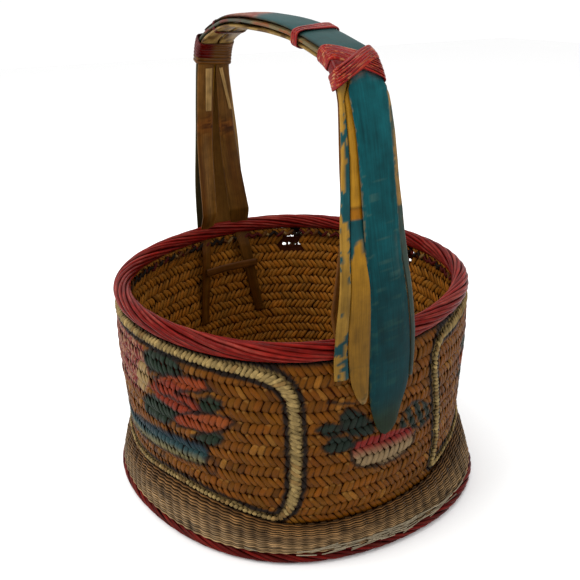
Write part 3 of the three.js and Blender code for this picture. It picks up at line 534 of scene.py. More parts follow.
def wall_core():
    """sheet of stakes and wefts between the two faces, coloured dark brown as painted shade for the gaps between the
    stitches, with the few gaps that let light through
    """
    na, nz = 720, 96
    a = 2 * math.pi * np.arange(na) / na
    z = np.linspace(26, 174.6, nz)
    A, Z = np.meshgrid(a, z, indexing="ij")
    rib = 0.35 * np.cos(84 * A) + 0.25 * np.sin(2 * math.pi * Z / ROW_H)
    ro = wall_r(A, Z) - 2.0 + rib * 0.5
    ri = wall_r(A, np.clip(Z, 26, 172)) - 3.3 + rib * 0.5
    V = np.stack([np.stack([ro * np.cos(A), ro * np.sin(A), Z], -1), np.stack([ri * np.cos(A), ri * np.sin(A), Z], -1)])
    ac = (a + math.pi / na)[:, None] + 0 * z[None, :-1]
    zc = (z[:-1] + z[1:])[None] / 2 + 0 * a[:, None]
    open_ = near_hole(ac, zc, 1.9)
    i, j = np.meshgrid(np.arange(na), np.arange(nz - 1), indexing="ij")
    i2 = (i + 1) % na
    idx = lambda s, p, q: s * na * nz + p * nz + q
    outer = np.stack([idx(0, i, j), idx(0, i2, j), idx(0, i2, j + 1), idx(0, i, j + 1)], -1)[~open_]
    inner = np.stack([idx(1, i, j), idx(1, i, j + 1), idx(1, i2, j + 1), idx(1, i2, j)], -1)[~open_]
    q = [outer, inner]
    ii = np.arange(na); i3 = (ii + 1) % na
    q.append(np.stack([idx(0, ii, nz - 1), idx(0, i3, nz - 1), idx(1, i3, nz - 1), idx(1, ii, nz - 1)], -1))
    q.append(np.stack([idx(0, i3, 0), idx(0, ii, 0), idx(1, ii, 0), idx(1, i3, 0)], -1))
    # sides of the gaps
    o = open_
    up = o & ~np.roll(np.pad(o, ((0, 0), (0, 1)))[:, 1:], 0, 0)
    for p, r in np.argwhere(o):
        p2 = (p + 1) % na
        if r + 1 < nz - 1 and not o[p, r + 1]:
            q.append(np.array([[idx(0, p2, r + 1), idx(0, p, r + 1), idx(1, p, r + 1), idx(1, p2, r + 1)]]))
        if r > 0 and not o[p, r - 1]:
            q.append(np.array([[idx(0, p, r), idx(0, p2, r), idx(1, p2, r), idx(1, p, r)]]))
        if not o[p2, r]:
            q.append(np.array([[idx(0, p2, r), idx(0, p2, r + 1), idx(1, p2, r + 1), idx(1, p2, r)]]))
        if not o[(p - 1) % na, r]:
            q.append(np.array([[idx(0, p, r + 1), idx(0, p, r), idx(1, p, r), idx(1, p, r + 1)]]))
    Q = np.vstack([x.reshape(-1, 4) for x in q])
    V = V.reshape(-1, 3)
    used = np.zeros(len(V), bool); used[Q.ravel()] = True
    remap = np.cumsum(used) - 1
    # painted shade: dark brown core seen between the stitches, black above 170 mm under the black band below the rim
    base = np.where((V[:, 2] > 170)[:, None], lin((18, 12, 9)), lin((58, 22, 6))) * (0.7 + 0.6 * fbm(np.arctan2(V[:, 1], V[:, 0]) * 30, V[:, 2] * 0.3, 0, 31))[:, None]
    g = np.stack([np.arctan2(V[:, 1], V[:, 0]) * 146, V[:, 2], 0 * V[:, 2]], -1)
    return V[used], remap[Q], base[used], g[used]


V, Q, C, G = wall_core()
make("wall_core", V, Q, C, G, M_CORE, ("body_wall_weave",))


# ---------------------------------------------------------------- panel borders: slanted overlay stitches
def border_piece(name, ci, node):
    pc = PANEL_C[ci]
    P = resample_loop(ci, 3.7)
    T = np.roll(P, -1, 0)[:, :2] - np.roll(P, 1, 0)[:, :2]
    T /= np.linalg.norm(T, axis=1)[:, None]
    k = len(P)
    n, m = 7, 6
    t = np.linspace(-1, 1, n)[None, :, None]
    ph = (2 * math.pi * (np.arange(m) + 0.5) / m)[None, None, :]
    ang = math.radians(52) + rng.normal(0, 0.13, k)
    # stitch direction: turned from the loop's direction by ang
    dx = T[:, 0] * np.cos(ang) - T[:, 1] * np.sin(ang)
    dy = T[:, 0] * np.sin(ang) + T[:, 1] * np.cos(ang)
    Lh = (P[:, 2] - 0.4) / np.sin(math.radians(52)) * (1 + rng.normal(0, 0.08, k))
    W = 1.75 + rng.normal(0, 0.2, k)
    taper = np.sqrt(np.clip(1 - 0.7 * t ** 4, 0.05, 1))
    al = t * Lh[:, None, None]
    ac = np.cos(ph) * W[:, None, None] * taper
    u = P[:, 0][:, None, None] + dx[:, None, None] * al - dy[:, None, None] * ac
    z = P[:, 1][:, None, None] + dy[:, None, None] * al + dx[:, None, None] * ac
    a = math.radians(pc) + u / 147.0
    dr = 0.95 * np.sin(ph) * taper + 0.9 * (1 - t ** 2) + 0.5 + rng.normal(0, 0.12, k)[:, None, None]
    z = np.clip(z, waist(a) - 0.5, 174.4)
    r = wall_r(a, z) + dr
    V = np.stack([r * np.cos(a), r * np.sin(a), z], -1)
    base = K_CREAM[None] * (1 + rng.normal(0, 0.16, k))[:, None]
    tan = rng.random(k) < 0.2
    base[tan] = base[tan] * 0.55 + K_WEAVE * 0.45
    C = np.broadcast_to(base[:, None, None, :], V.shape).copy()
    worn = fbm(a * 60, z * 0.5, 2, 41)
    C = C * (0.35 + 1.1 * worn)[..., None]
    # painted shade toward the ends of each stitch, where it tucks under
    C *= (1.0 - 0.6 * np.abs(t) ** 5 + 0 * ph)[..., None]
    G = np.stack([al + 0 * ph, ac + 0 * al, np.broadcast_to(rng.random(k)[:, None, None] * 50, V.shape[:3])], -1)
    make(name, V, quads_of(k, n, m), C, G, M_BORDER, (node,))


border_piece("border_front", 0, "front_panel_border")
border_piece("border_back", 1, "back_panel_border")


# ---------------------------------------------------------------- floor: plain plait of flat splints
def floor_plait():
    pitch, R = 7.0, 139.2
    Vs, Qs, Cs, Gs, off = [], [], [], [], 0
    for axis in (0, 1):
        for i in range(-19, 20):
            c = i * pitch
            half = R * R - c * c
            if half < 400:
                continue
            half = math.sqrt(half)
            nn = max(4, int(2 * half / (pitch / 2)))
            x = np.linspace(-half, half, nn)
            m = 8
            ph = 2 * math.pi * (np.arange(m) + 0.5) / m
            zc = 28.0 + 0.9 * np.cos(math.pi * (x / pitch + i + axis)) + 1.6 * np.clip(1 - (x ** 2 + c ** 2) / R ** 2, 0, 1)
            y = c + 3.15 * np.sign(np.cos(ph)) * np.abs(np.cos(ph)) ** 0.6
            z = 0.5 * np.sin(ph)
            X = np.broadcast_to(x[:, None], (nn, m)); Y = np.broadcast_to(y[None], (nn, m)); Z = zc[:, None] + z[None]
            k = plan(np.arctan2(Y, X) if axis == 0 else np.arctan2(X, Y), 30.0)
            P = np.stack([X * k, Y * k, Z], -1) if axis == 0 else np.stack([Y * k, X * k, Z], -1)
            Vs.append(P.reshape(-1, 3)); Qs.append(quads_of(1, nn, m) + off); off += nn * m
            b = lin((104, 62, 22)) * (1 + rng.normal(0, 0.14))
            g = fbm(X * 0.05, Y * 0.05, axis, 51)
            Cs.append((b * (0.75 + 0.5 * g)[..., None]).reshape(-1, 3))
            Gs.append(np.stack([X, Y, Z * 0 + i * 3 + axis * 77], -1).reshape(-1, 3))
    make("floor_plait", np.vstack(Vs), np.vstack(Qs), np.vstack(Cs), np.vstack(Gs), M_WEAVE_IN, ("body_floor",))


floor_plait()


# ---------------------------------------------------------------- foot skirt
def skirt():
    NS = 96
    rows = 16
    n, m = 640, 6
    a = 2 * math.pi * np.arange(n) / n
    ph = 2 * math.pi * (np.arange(m) + 0.5) / m
    Vs, Cs, Gs = [], [], []
    for k in range(rows):
        z0 = 12.0 + (waist(a) - 13.0) * k / (rows - 1)
        wav = 0.3 * (vnoise(a * 6, k, 0, 61) - 0.5)
        z = z0 + wav
        rs = np.interp(10.4 + (z - 10.4) * 37.1 / (waist(a) - 10.4), SKIRT_OUT[:, 0], SKIRT_OUT[:, 1]) * plan(a, z)
        bulge = 0.38 * np.cos(NS * a) + 0.03 * np.cos(NS * a / 2 + math.pi * (k % 2))
        rc = rs - 1.35 + bulge + 0.15 * rng.normal()
        R = rc[:, None] + 0.72 * np.sin(ph)[None]
        Z = z[:, None] + (0.44 * (waist(a) - 13.0) / (rows - 1))[:, None] * np.cos(ph)[None]
        Vs.append(np.stack([R * np.cos(a)[:, None], R * np.sin(a)[:, None], Z], -1))
        f = k / (rows - 1)
        b = lin((178, 144, 100)) * (1 - f) + lin((112, 74, 34)) * f
        b = b * (1 + rng.normal(0, 0.13))
        if rng.random() < 0.2:
            b = b * 0.72
        g = fbm(a * 14, k * 0.4, 0, 62)
        c = b[None] * (0.2 + 1.15 * g + 0.2 * np.cos(NS * a))[:, None].clip(0.04, 2)
        # whitish, frayed lower rows on the side right of the front
        wht = 0.36 * np.exp(-((wrapdeg(np.degrees(a) - 3.0)) / 16.0) ** 2) * (k < 4)
        wht = wht + 0.75 * np.exp(-((wrapdeg(np.degrees(a) + 95.0)) / 60.0) ** 2) * (k < 8) * (0.4 + 0.6 * np.cos(NS * a))
        wht = wht * (0.35 + 0.65 * vnoise(a * 40, k * 2.0, 0, 63))
        c = c * (1 - 0.6 * wht[:, None]) + lin((136, 122, 100)) * (0.6 * wht[:, None])
        # painted shade along the top and bottom edge of each weaver, in the gaps between rows
        Cs.append(c[:, None] * np.where(np.abs(np.cos(ph)) > 0.75, 0.22, 1.0)[None, :, None])
        Gs.append(np.stack([np.broadcast_to((a * 150)[:, None], (n, m)), np.broadcast_to(np.cos(ph)[None] * 1.1, (n, m)), np.full((n, m), k * 7.0)], -1))
    V = np.concatenate([v.reshape(-1, 3) for v in Vs]); C = np.concatenate([c.reshape(-1, 3) for c in Cs]); G = np.concatenate([g.reshape(-1, 3) for g in Gs])
    make("skirt_weavers", V, quads_of(rows, n, m, closed=True), C, G, M_SKIRT, ("foot_skirt",))
    # stakes behind the weavers
    nz, m = 12, 8
    zu = np.linspace(0, 1, nz)
    ph = 2 * math.pi * (np.arange(m) + 0.5) / m
    Vs, Cs, Gs = [], [], []
    for i in range(NS):
        a0 = 2 * math.pi * i / NS
        z = 11.0 + (float(waist(a0)) - 11.6) * zu
        r = np.interp(10.4 + zu * 37.1, SKIRT_OUT[:, 0], SKIRT_OUT[:, 1]) * plan(a0, z) - 2.35
        R = r[:, None] + 0.42 * np.sin(ph)[None]
        U = 2.6 * np.sign(np.cos(ph)) * np.abs(np.cos(ph)) ** 0.6
        A = a0 + U[None] / 150 + 0 * r[:, None]
        Vs.append(np.stack([R * np.cos(A), R * np.sin(A), np.broadcast_to(z[:, None], R.shape)], -1))
        b = lin((62, 42, 22)) * (1 + rng.normal(0, 0.12))
        Cs.append(np.broadcast_to(b, (nz, m, 3)))
        Gs.append(np.stack([np.broadcast_to(z[:, None], R.shape), np.broadcast_to(U[None], R.shape), np.full(R.shape, i * 3.0)], -1))
    V = np.concatenate([v.reshape(-1, 3) for v in Vs]); C = np.concatenate([c.reshape(-1, 3) for c in Cs]); G = np.concatenate([g.reshape(-1, 3) for g in Gs])
    make("skirt_stakes", V, quads_of(NS, nz, m), C, G, M_SKIRT, ("foot_skirt",))
    # a few loose frayed splints above the foot rope
    k = 60
    a0 = np.radians(rng.normal(6, 15, k))
    z0 = rng.uniform(10.5, 18, k)
    n, m = 6, 4
    t = np.linspace(-1, 1, n)[None, :, None]
    ph = (2 * math.pi * (np.arange(m) + 0.5) / m)[None, None, :]
    L = rng.uniform(5, 12, k)[:, None, None]
    sl = rng.normal(0.05, 0.16, k)[:, None, None]
    A = a0[:, None, None] + (t * L) / 150
    Z = z0[:, None, None] + sl * t * L + 0.55 * np.cos(ph)
    R = np.interp(z0, SKIRT_OUT[:, 0], SKIRT_OUT[:, 1])[:, None, None] * plan(A, 12.0) + 0.15 + 0.9 * rng.random(k)[:, None, None] * (t * 0.5 + 0.5) + 0.3 * np.sin(ph)
    V = np.stack([R * np.cos(A), R * np.sin(A), Z + 0 * R], -1)
    C = np.broadcast_to((lin((138, 126, 104))[None] * (1 + rng.normal(0, 0.16, k))[:, None])[:, None, None], V.shape)
    G = np.stack([t * L + 0 * ph, np.cos(ph) + 0 * t * L, 0 * t * L + 0 * ph], -1)
    make("skirt_frayed_ends", V, quads_of(k, n, m), C, G, M_SKIRT, ("foot_skirt",))


skirt()


def hoop():
    n, m = 360, 16
    a = 2 * math.pi * np.arange(n) / n
    ph = 2 * math.pi * (np.arange(m) + 0.5) / m
    z = 6.5 + 6.5 * np.sign(np.sin(ph)) * np.abs(np.sin(ph)) ** 0.25
    rr = 141.3 + 2.05 * np.sign(np.cos(ph)) * np.abs(np.cos(ph)) ** 0.45
    R = rr[None] * plan(a[:, None], z[None]) + 0.15 * (fbm(a * 9, 0, 0, 71) - 0.5)[:, None]
    V = np.stack([R * np.cos(a)[:, None], R * np.sin(a)[:, None], np.broadcast_to(z[None], R.shape)], -1)
    C = lin((110, 74, 34)) * (0.75 + 0.5 * fbm((a * 20)[:, None], z[None] * 0.3, 0, 72))[..., None]
    G = np.stack([np.broadcast_to((a * 141)[:, None], R.shape), np.broadcast_to(z[None], R.shape), 0 * R], -1)
    make("foot_hoop_bamboo", V, quads_of(1, n, m, closed=True), C, G, M_BROWN, ("foot_hoop",))


hoop()


# ---------------------------------------------------------------- twisted ropes
def rope(name, R0, z0, count, off, half_w, half_t, turns, n, m, base, worn_c, seed, nodes, core_r, mat, worn_amt=0.5, squash=1.0):
    a = 2 * math.pi * np.arange(n) / n
    ph = 2 * math.pi * (np.arange(m) + 0.5) / m
    Vs, Cs, Gs = [], [], []
    for k in range(count):
        jitter = 0.16 * (fbm(a * 5 + k * 3.1, k, 0, seed) - 0.5) * 2
        psi = 2 * math.pi * (k + 0.12 * math.sin(k * 2.4)) / count - turns * a + jitter * 0.6
        wv = 1 + 0.22 * (fbm(a * 7, k * 1.7, 3, seed + 3) - 0.5)
        # local frame: outward (psi) and tangential round the rope's section
        er = np.stack([np.cos(psi), np.sin(psi)], -1)
        et = np.stack([-np.sin(psi), np.cos(psi)], -1)
        sw = np.cos(ph)[None] * (half_w * wv)[:, None]
        st = np.sin(ph)[None] * half_t - 0.18 * (sw / half_w) ** 2
        o = off + 0.25 * (fbm(a * 8, k * 2.3, 7, seed + 5) - 0.5)
        q = (o[:, None] + st)[..., None] * er[:, None] + sw[..., None] * et[:, None]
        wobble = 0.5 * (fbm(a * 4, 0, 0, seed + 9) - 0.5)
        rad = R0 * plan(a, z0)[:, None] + q[..., 0]
        z = z0 + wobble[:, None] * 0.6 + q[..., 1] * squash
        Vs.append(np.stack([rad * np.cos(a)[:, None], rad * np.sin(a)[:, None], z], -1))
        tint = 1 + 0.35 * (vnoise(k * 1.37, 0, 0, seed) - 0.5) * 2
        w1 = fbm((a * R0 * 0.02)[:, None] + k * 5, sw * 0.9, k, seed + 11)
        w2 = fbm((a * R0 * 0.10)[:, None] + k * 5, sw * 2.2, k + 40, seed + 12, 2)
        crest = np.clip(np.sin(ph), 0, 1)[None]
        wear = np.clip((w1 * 0.65 + w2 * 0.35 - 0.52) * 5, 0, 1) * crest * worn_amt
        c = base * tint * (0.75 + 0.5 * w1)[..., None]
        c = c * (1 - wear[..., None]) + worn_c * wear[..., None]
        # painted shade on the sides of each strand, in the gaps between strands, and on the face turned to the core
        c = c * (0.32 + 0.68 * np.clip(1 - np.abs(np.cos(ph))[None, :, None] ** 3 * 0.9, 0, 1)) * np.where(np.sin(ph)[None, :, None] < -0.2, 0.4, 1)
        Cs.append(c)
        Gs.append(np.stack([np.broadcast_to((a * R0)[:, None], sw.shape), sw, np.full(sw.shape, k * 9.0)], -1))
    V = np.concatenate([v.reshape(-1, 3) for v in Vs]); C = np.concatenate([c.reshape(-1, 3) for c in Cs]); G = np.concatenate([g.reshape(-1, 3) for g in Gs])
    make(name, V, quads_of(count, n, m, closed=True), C, G, mat, nodes)
    # core, coloured near-black as painted shade seen through the gaps between the strands
    n2, m2 = 240, 10
    a = 2 * math.pi * np.arange(n2) / n2
    ph = 2 * math.pi * np.arange(m2) / m2
    rad = R0 * plan(a, z0)[:, None] + core_r * np.cos(ph)[None]
    z = z0 + core_r * np.sin(ph)[None] + 0 * rad
    V = np.stack([rad * np.cos(a)[:, None], rad * np.sin(a)[:, None], z], -1)
    C = np.broadcast_to(lin((24, 6, 5)), V.shape)
    G = np.stack([np.broadcast_to((a * R0)[:, None], rad.shape), z, 0 * z], -1)
    make(name + "_core", V, quads_of(1, n2, m2, closed=True), C, G, M_DARK, nodes)


rope("rim_rope", RIM_R, RIM_Z, 12, 5.25, 1.6, 1.7, 4, 900, 10, K_RED, lin((140, 62, 50)), 81,
     ("rim_rope_strand_1", "rim_rope_strand_2", "rim_rope_strand_3"), 4.4, M_RED, 0.75)
rope("foot_rope", 148.5, 5.05, 7, 3.25, 1.6, 1.35, 11, 900, 8, K_RED * 0.72, lin((104, 48, 32)), 91,
     ("foot_rope_strand_1", "foot_rope_strand_2"), 2.7, M_RED, 0.5)


def rim_ends():
    """short interlaced ends under the rim, inside"""
    k = 190
    a0 = 2 * math.pi * (np.arange(k) + rng.normal(0, 0.15, k)) / k
    n, m = 6, 6
    t = np.linspace(-1, 1, n)[None, :, None]
    ph = (2 * math.pi * (np.arange(m) + 0.5) / m)[None, None, :]
    th = np.where(np.arange(k) % 2 == 0, 1, -1) * math.radians(48) + rng.normal(0, 0.12, k)
    L = rng.uniform(8, 11, k)
    al = t * (L / 2)[:, None, None]
    ac = np.cos(ph) * 1.75 * np.sqrt(np.clip(1 - 0.7 * t ** 4, 0.05, 1))
    du = np.sin(th)[:, None, None] * al + np.cos(th)[:, None, None] * ac
    dz = np.cos(th)[:, None, None] * al - np.sin(th)[:, None, None] * ac
    A = a0[:, None, None] + du / 136
    Z = 170.2 + dz * 0.9 + rng.normal(0, 0.4, k)[:, None, None]
    R = 137.6 * plan(A, 170.0) - 0.9 * (1 - t ** 2) - 0.8 * np.sin(ph) - (np.arange(k) % 2)[:, None, None] * 0.5
    V = np.stack([R * np.cos(A), R * np.sin(A), Z + 0 * R], -1)
    pick = rng.random(k)
    b = np.where((pick < 0.45)[:, None], lin((26, 16, 9)), np.where((pick < 0.54)[:, None], lin((118, 90, 50)), np.where((pick < 0.8)[:, None], lin((70, 14, 10)), lin((84, 50, 18)))))
    C = np.broadcast_to(b[:, None, None], V.shape)
    G = np.stack([al + 0 * ph, ac + 0 * al, 0 * al + 0 * ph], -1)
    make("rim_inner_ends", V, quads_of(k, n, m), C, G, M_DARK, ("rim_inner_binding",))


rim_ends()


# ---------------------------------------------------------------- handle path
def catmull(P):
    P = np.array(P, float)
    E = np.vstack([2 * P[0] - P[1], P, 2 * P[-1] - P[-2]])
    out = []
    for i in range(len(P) - 1):
        p0, p1, p2, p3 = E[i:i + 4]
        d0, d1, d2 = (max(np.linalg.norm(b - a), 1e-4) ** 0.5 for a, b in ((p0, p1), (p1, p2), (p2, p3)))
        t1 = ((p1 - p0) / d0 - (p2 - p0) / (d0 + d1) + (p2 - p1) / d1) * d1
        t2 = ((p2 - p1) / d1 - (p3 - p1) / (d1 + d2) + (p3 - p2) / d2) * d1
        t = np.linspace(0, 1, 60, endpoint=False)[:, None]
        out.append(p1 + t1 * t + (-3 * p1 + 3 * p2 - 2 * t1 - t2) * t ** 2 + (2 * p1 - 2 * p2 + t1 + t2) * t ** 3)
    out.append(P[-1:])
    return np.vstack(out)


_C = catmull(PROFILE)
_S = np.concatenate([[0], np.cumsum(np.linalg.norm(np.diff(_C, axis=0), axis=1))])
LEN = _S[-1]
_T = np.gradient(_C, axis=0); _T /= np.linalg.norm(_T, axis=1)[:, None]


def station(s):
    s = np.clip(s, 0, LEN)
    x, z = np.interp(s, _S, _C[:, 0]), np.interp(s, _S, _C[:, 1])
    tx, tz = np.interp(s, _S, _T[:, 0]), np.interp(s, _S, _T[:, 1])
    l = np.hypot(tx, tz)
    return x, z, tz / l, -tx / l


def s_at_z(side, z):
    k = (_C[:, 0] * side > 100)
    i = np.where(k)[0][np.abs(_C[k, 1] - z).argmin()]
    return _S[i]


def s_at_x(x):
    k = _C[:, 1] > 345
    i = np.where(k)[0][np.abs(_C[k, 0] - x).argmin()]
    return _S[i]


ENV_OUT = 148.3
ENV_IN = np.array([[80, 140.4], [100, 140.4], [130, 138.5], [150, 136.4], [162, 136.8], [172, 138.8], [176, 139.6], [188, 139.6], [195, 136.0], [203, 132.2], [400, 132.2]])
INNER_D, INNER_T, SIDE_T, BLADE_T = 6.75, 2.8, 2.6, 3.0


def at(s, y, d, layer=None):
    s, y, d = np.broadcast_arrays(np.asarray(s, float), np.asarray(y, float), np.asarray(d, float))
    qx, qz, nx, nz = station(s)
    x, z = qx - nx * d, qz - nz * d
    side = np.sign(qx)
    leg = (qz < 300) & (np.abs(qx) > 100)
    k = 1 - smooth(192, 296, qz)
    a = np.arctan2(y, side * 148)
    if layer == "inner":
        R = np.interp(qz, ENV_IN[:, 0], ENV_IN[:, 1]) * plan(a, qz)
        xe = np.sqrt(R * R - y * y) - (d - INNER_D)
    else:
        R = ENV_OUT * plan(a, np.maximum(qz, 60))
        xe = np.sqrt(R * R - y * y) + 3.3 - d
    x2 = side * (np.abs(x) * (1 - k) + xe * k)
    z2 = z * (1 - k) + qz * k
    return np.stack([np.where(leg, x2, x), y, np.where(leg, z2, z)], -1)


S_X88, S_X58, S_XM70 = s_at_x(88), s_at_x(58), s_at_x(-70)
SF, SB = s_at_z(1, 343), s_at_z(-1, 343)


def spread(s):
    k = np.sin(math.pi * np.clip((s - S_X58) / (S_XM70 - S_X58), 0, 1))
    return np.maximum(0, k)


def mid_depth(s):
    z = station(s)[1]
    return np.where(z < 343, 0.3 + 3.05 * smooth(222, 276, z), 3.35 + 0.7 * spread(s))


def inner_depth(s):
    z = station(s)[1]
    return np.where(z < 343, INNER_D, INNER_D + 1.5 * spread(s))


def tab(t, z):
    t = np.array(t, float)
    return np.interp(z, t[:, 0], t[:, 1])


def strip(name, s0, s1, front, back, depth, t, colour, mat, node, layer=None, crown=0.5, taper0=0, taper1=0, arch=None, archf=None,
          step=1.6, m=22, tap=0.55, min_k=0.10, wav=0.0, seed=1):
    n = int((s1 - s0) / step)
    s = np.linspace(s0, s1, n)
    x, z, _, _ = station(s)
    l = np.where(s < SF, tab(front["l"], z), 0.0); r = np.where(s < SF, tab(front["r"], z), 0.0)
    l = np.where(s > SB, tab(back["l"], z), l); r = np.where(s > SB, tab(back["r"], z), r)
    mid = (s >= SF) & (s <= SB)
    k = np.clip((s - SF) / (SB - SF), 0, 1)
    fl, fr, bl, br = tab(front["l"], 343), tab(front["r"], 343), tab(back["l"], 343), tab(back["r"], 343)
    if arch == "front":
        bl, br = fl, fr
    if arch == "back":
        fl, fr = bl, br
    if archf:
        q = smooth(0, 14, s - SF)
        al = archf[0] + (bl - archf[0]) * k; ar = archf[1] + (br - archf[1]) * k
        l = np.where(mid, fl * (1 - q) + al * q, l); r = np.where(mid, fr * (1 - q) + ar * q, r)
    else:
        l = np.where(mid, fl + (bl - fl) * k, l); r = np.where(mid, fr + (br - fr) * k, r)
    yc, hw = (l + r) / 2, (r - l) / 2
    e = np.ones(n)
    if taper0:
        e = np.minimum(e, min_k + (1 - min_k) * np.clip((s - s0) / taper0, 0, 1) ** tap)
    if taper1:
        e = np.minimum(e, min_k + (1 - min_k) * np.clip((s1 - s) / taper1, 0, 1) ** tap)
    hw = hw * e
    # the ends are eased in thickness too, so the cut is rounded
    et = np.clip(np.minimum(s - s0, s1 - s) / 1.6, 0.35, 1) ** 0.5
    ph = 2 * math.pi * (np.arange(m) + 0.5) / m
    cy = np.sign(np.cos(ph)) * np.abs(np.cos(ph)) ** 0.42
    cd = -np.sign(np.sin(ph)) * np.abs(np.sin(ph)) ** 0.55
    d0 = depth(s) if callable(depth) else np.full(n, float(depth))
    Y = yc[:, None] + hw[:, None] * cy[None] + 0.12 * (fbm(s[:, None] * 0.05, cy[None] * 0.5, 0, seed) - 0.5)
    top = cd[None] < 0
    D = d0[:, None] + t / 2 + cd[None] * t / 2 * et[:, None]
    D = D + np.where(top, crown * cy[None] ** 2, crown * 0.25 * cy[None] ** 2 * 0)
    if wav:
        D = D + wav * (fbm(s[:, None] * 0.035, cy[None] * 0.8, 2, seed + 4) - 0.5)
    V = at(s[:, None], Y, D, layer)
    S2 = np.broadcast_to(s[:, None], Y.shape)
    C = colour(S2, np.broadcast_to(cy[None], Y.shape), np.broadcast_to(top, Y.shape), np.broadcast_to(z[:, None], Y.shape), np.broadcast_to(x[:, None], Y.shape))
    G = np.stack([S2, Y - yc[:, None], np.full(Y.shape, seed * 13.0) + 6.0 * (~top)], -1)
    return make(name, V, quads_of(1, n, m), C, G, mat, (node,))


def mixc(a, b, k):
    k = np.asarray(k)[..., None]
    return np.asarray(a) * (1 - k) + np.asarray(b) * k


def teal_colour(seed, worn=1.0, tip=False):
    def f(s, c, top, z, x):
        n1 = fbm(s * 0.02, c * 1.6, seed, 101)
        n2 = fbm(s * 0.35, c * 5, seed, 102)
        n3 = fbm(s * 0.06, c * 9, seed, 103)
        col = K_TEAL * (0.72 + 0.5 * n1)[..., None] * (0.93 + 0.14 * n2)[..., None]
        # darker lengthwise brush marks, lighter left part
        col = col * (1 - 0.22 * smooth(0.5, 0.72, n3))[..., None]
        edge = smooth(0.86, 1.0, np.abs(c))
        wear = smooth(0.62, 0.72, n2 * 0.6 + n1 * 0.2 + 0.28 * edge * worn)
        col = mixc(col, lin((104, 84, 50)), wear * 0.6 * np.clip(0.25 + edge, 0, 1))
        chip = smooth(0.80, 0.84, vnoise(s * 0.5, c * 7, seed, 104)) * smooth(0.5, 0.6, n1)
        col = mixc(col, lin((60, 86, 76)), chip * 0.4)
        # painted shade: darker lower down the legs, lighter toward the arch
        col = col * (0.46 + 0.66 * smooth(180, 290, z) + 0.35 * smooth(290, 340, z))[..., None]
        under = ~top
        col = np.where(under[..., None], lin((118, 80, 32)) * (0.7 + 0.5 * n1)[..., None], col)
        return col
    return f


def front_blade_colour(s, c, top, z, x):
    col = teal_colour(3)(s, c, top, z, x)
    col = col * (np.array([0.45, 1.0, 1.02]) + np.array([0.55, 0.0, -0.02]) * smooth(170, 250, z)[..., None])
    # greener toward the tip
    g = 1 - smooth(120, 146, z)
    col = mixc(col, lin((28, 35, 18)) * (0.8 + 0.4 * fbm(s * 0.1, c * 3, 3, 113))[..., None], g * 0.85 * np.where(top, 1, 0))
    # orange and pink worn rim round the rounded top
    e = smooth(s_at_x(126), s_at_x(119), s) * smooth(0.15, 0.75, np.abs(c) + 0.9 * smooth(s_at_x(124.5), s_at_x(119.5), s))
    n = fbm(s * 0.4, c * 3, 0, 111)
    col = mixc(col, mixc(lin((150, 88, 62)), lin((110, 22, 16)), smooth(0.45, 0.6, n)), e * 0.8 * smooth(0.3, 0.5, n + 0.1))
    # pale streak along the lower right, where the paint has rubbed through
    st = np.exp(-((c - 0.66 - 0.05 * np.sin(s * 0.03)) / 0.05) ** 2) * smooth(200, 215, z) * (1 - smooth(262, 285, z)) * smooth(0.42, 0.6, fbm(s * 0.08, c * 2, 5, 112))
    col = mixc(col, lin((120, 96, 64)), st * 0.6)
    return col


def top_blade_colour(s, c, top, z, x):
    col = teal_colour(7)(s, c, top, z, x)
    n = fbm(s * 0.12, c * 2.2, 1, 121)
    pink = smooth(-58, -46, x) * (1 - smooth(-12, 4, x + 10 * c))
    col = mixc(col, mixc(lin((110, 48, 38)), lin((132, 88, 70)), smooth(0.45, 0.6, n)), pink * smooth(0.3, 0.45, n + 0.12))
    dark = 1 - smooth(-66, -50, x)
    col = mixc(col, lin((26, 34, 30)) * (0.7 + 0.6 * n)[..., None], dark * 0.75)
    dull = smooth(66, 76, x)
    col = mixc(col, lin((34, 56, 54)), dull * 0.8)
    side = smooth(0.9, 1.0, np.abs(c))
    col = mixc(col, lin((34, 22, 14)), side * 0.6)
    gr = smooth(-50, 10, x) * (x < 76)
    col = mixc(col, lin((26, 50, 46)) * (0.8 + 0.4 * n)[..., None], gr * 0.6 * (1 - pink))
    return col


def bamboo(base, seed, dark=0.3):
    base = np.asarray(base)

    def f(s, c, top, z, x):
        n1 = fbm(s * 0.012, c * 1.3, seed, 131)
        n2 = fbm(s * 0.05, c * 8, seed, 132)
        col = base * (0.75 + 0.45 * n1)[..., None] * (1 - dark * smooth(0.52, 0.75, n2))[..., None]
        return col
    return f


def side_a_colour(s, c, top, z, x):
    col = bamboo(lin((150, 112, 40)), 5)(s, c, top, z, x)
    fr = (x > 0)
    n = fbm(s * 0.11, c * 1.7, 3, 141); n2 = vnoise(s * 0.45, c * 3.2, 3, 142)
    m = n * 0.75 + n2 * 0.25
    # amount of teal left, by height on the front leg
    amt = np.interp(z, [163, 175, 190, 205, 222, 232, 240, 262, 276, 284, 292, 306, 322, 335, 345], [0.46, 0.40, 0.44, 0.34, 0.28, 0.30, 0.42, 0.30, 0.66, 0.85, 0.60, 0.42, 0.52, 0.30, 0.12])
    right = np.interp(c, [-1, 0.2, 1], [-0.13, 0.0, 0.2])
    k = smooth(0.02, 0.06, amt + right * 0.8 - m + 0.06)
    k = np.where(fr, k, 0.25 * smooth(0.45, 0.5, m))
    k = np.where(top, k, k * 0.3)
    col = mixc(col, lin((16, 66, 70)) * (0.8 + 0.4 * n)[..., None], k)
    col = np.where((x < 0)[..., None], mixc(col, lin((34, 40, 30)) * (0.7 + 0.6 * n)[..., None], 0.85 + 0 * x), col)
    arch = smooth(345, 360, z)
    col = mixc(col, mixc(lin((64, 70, 58)), lin((96, 38, 30)), smooth(0.45, 0.6, n)), arch * 0.75)
    return col


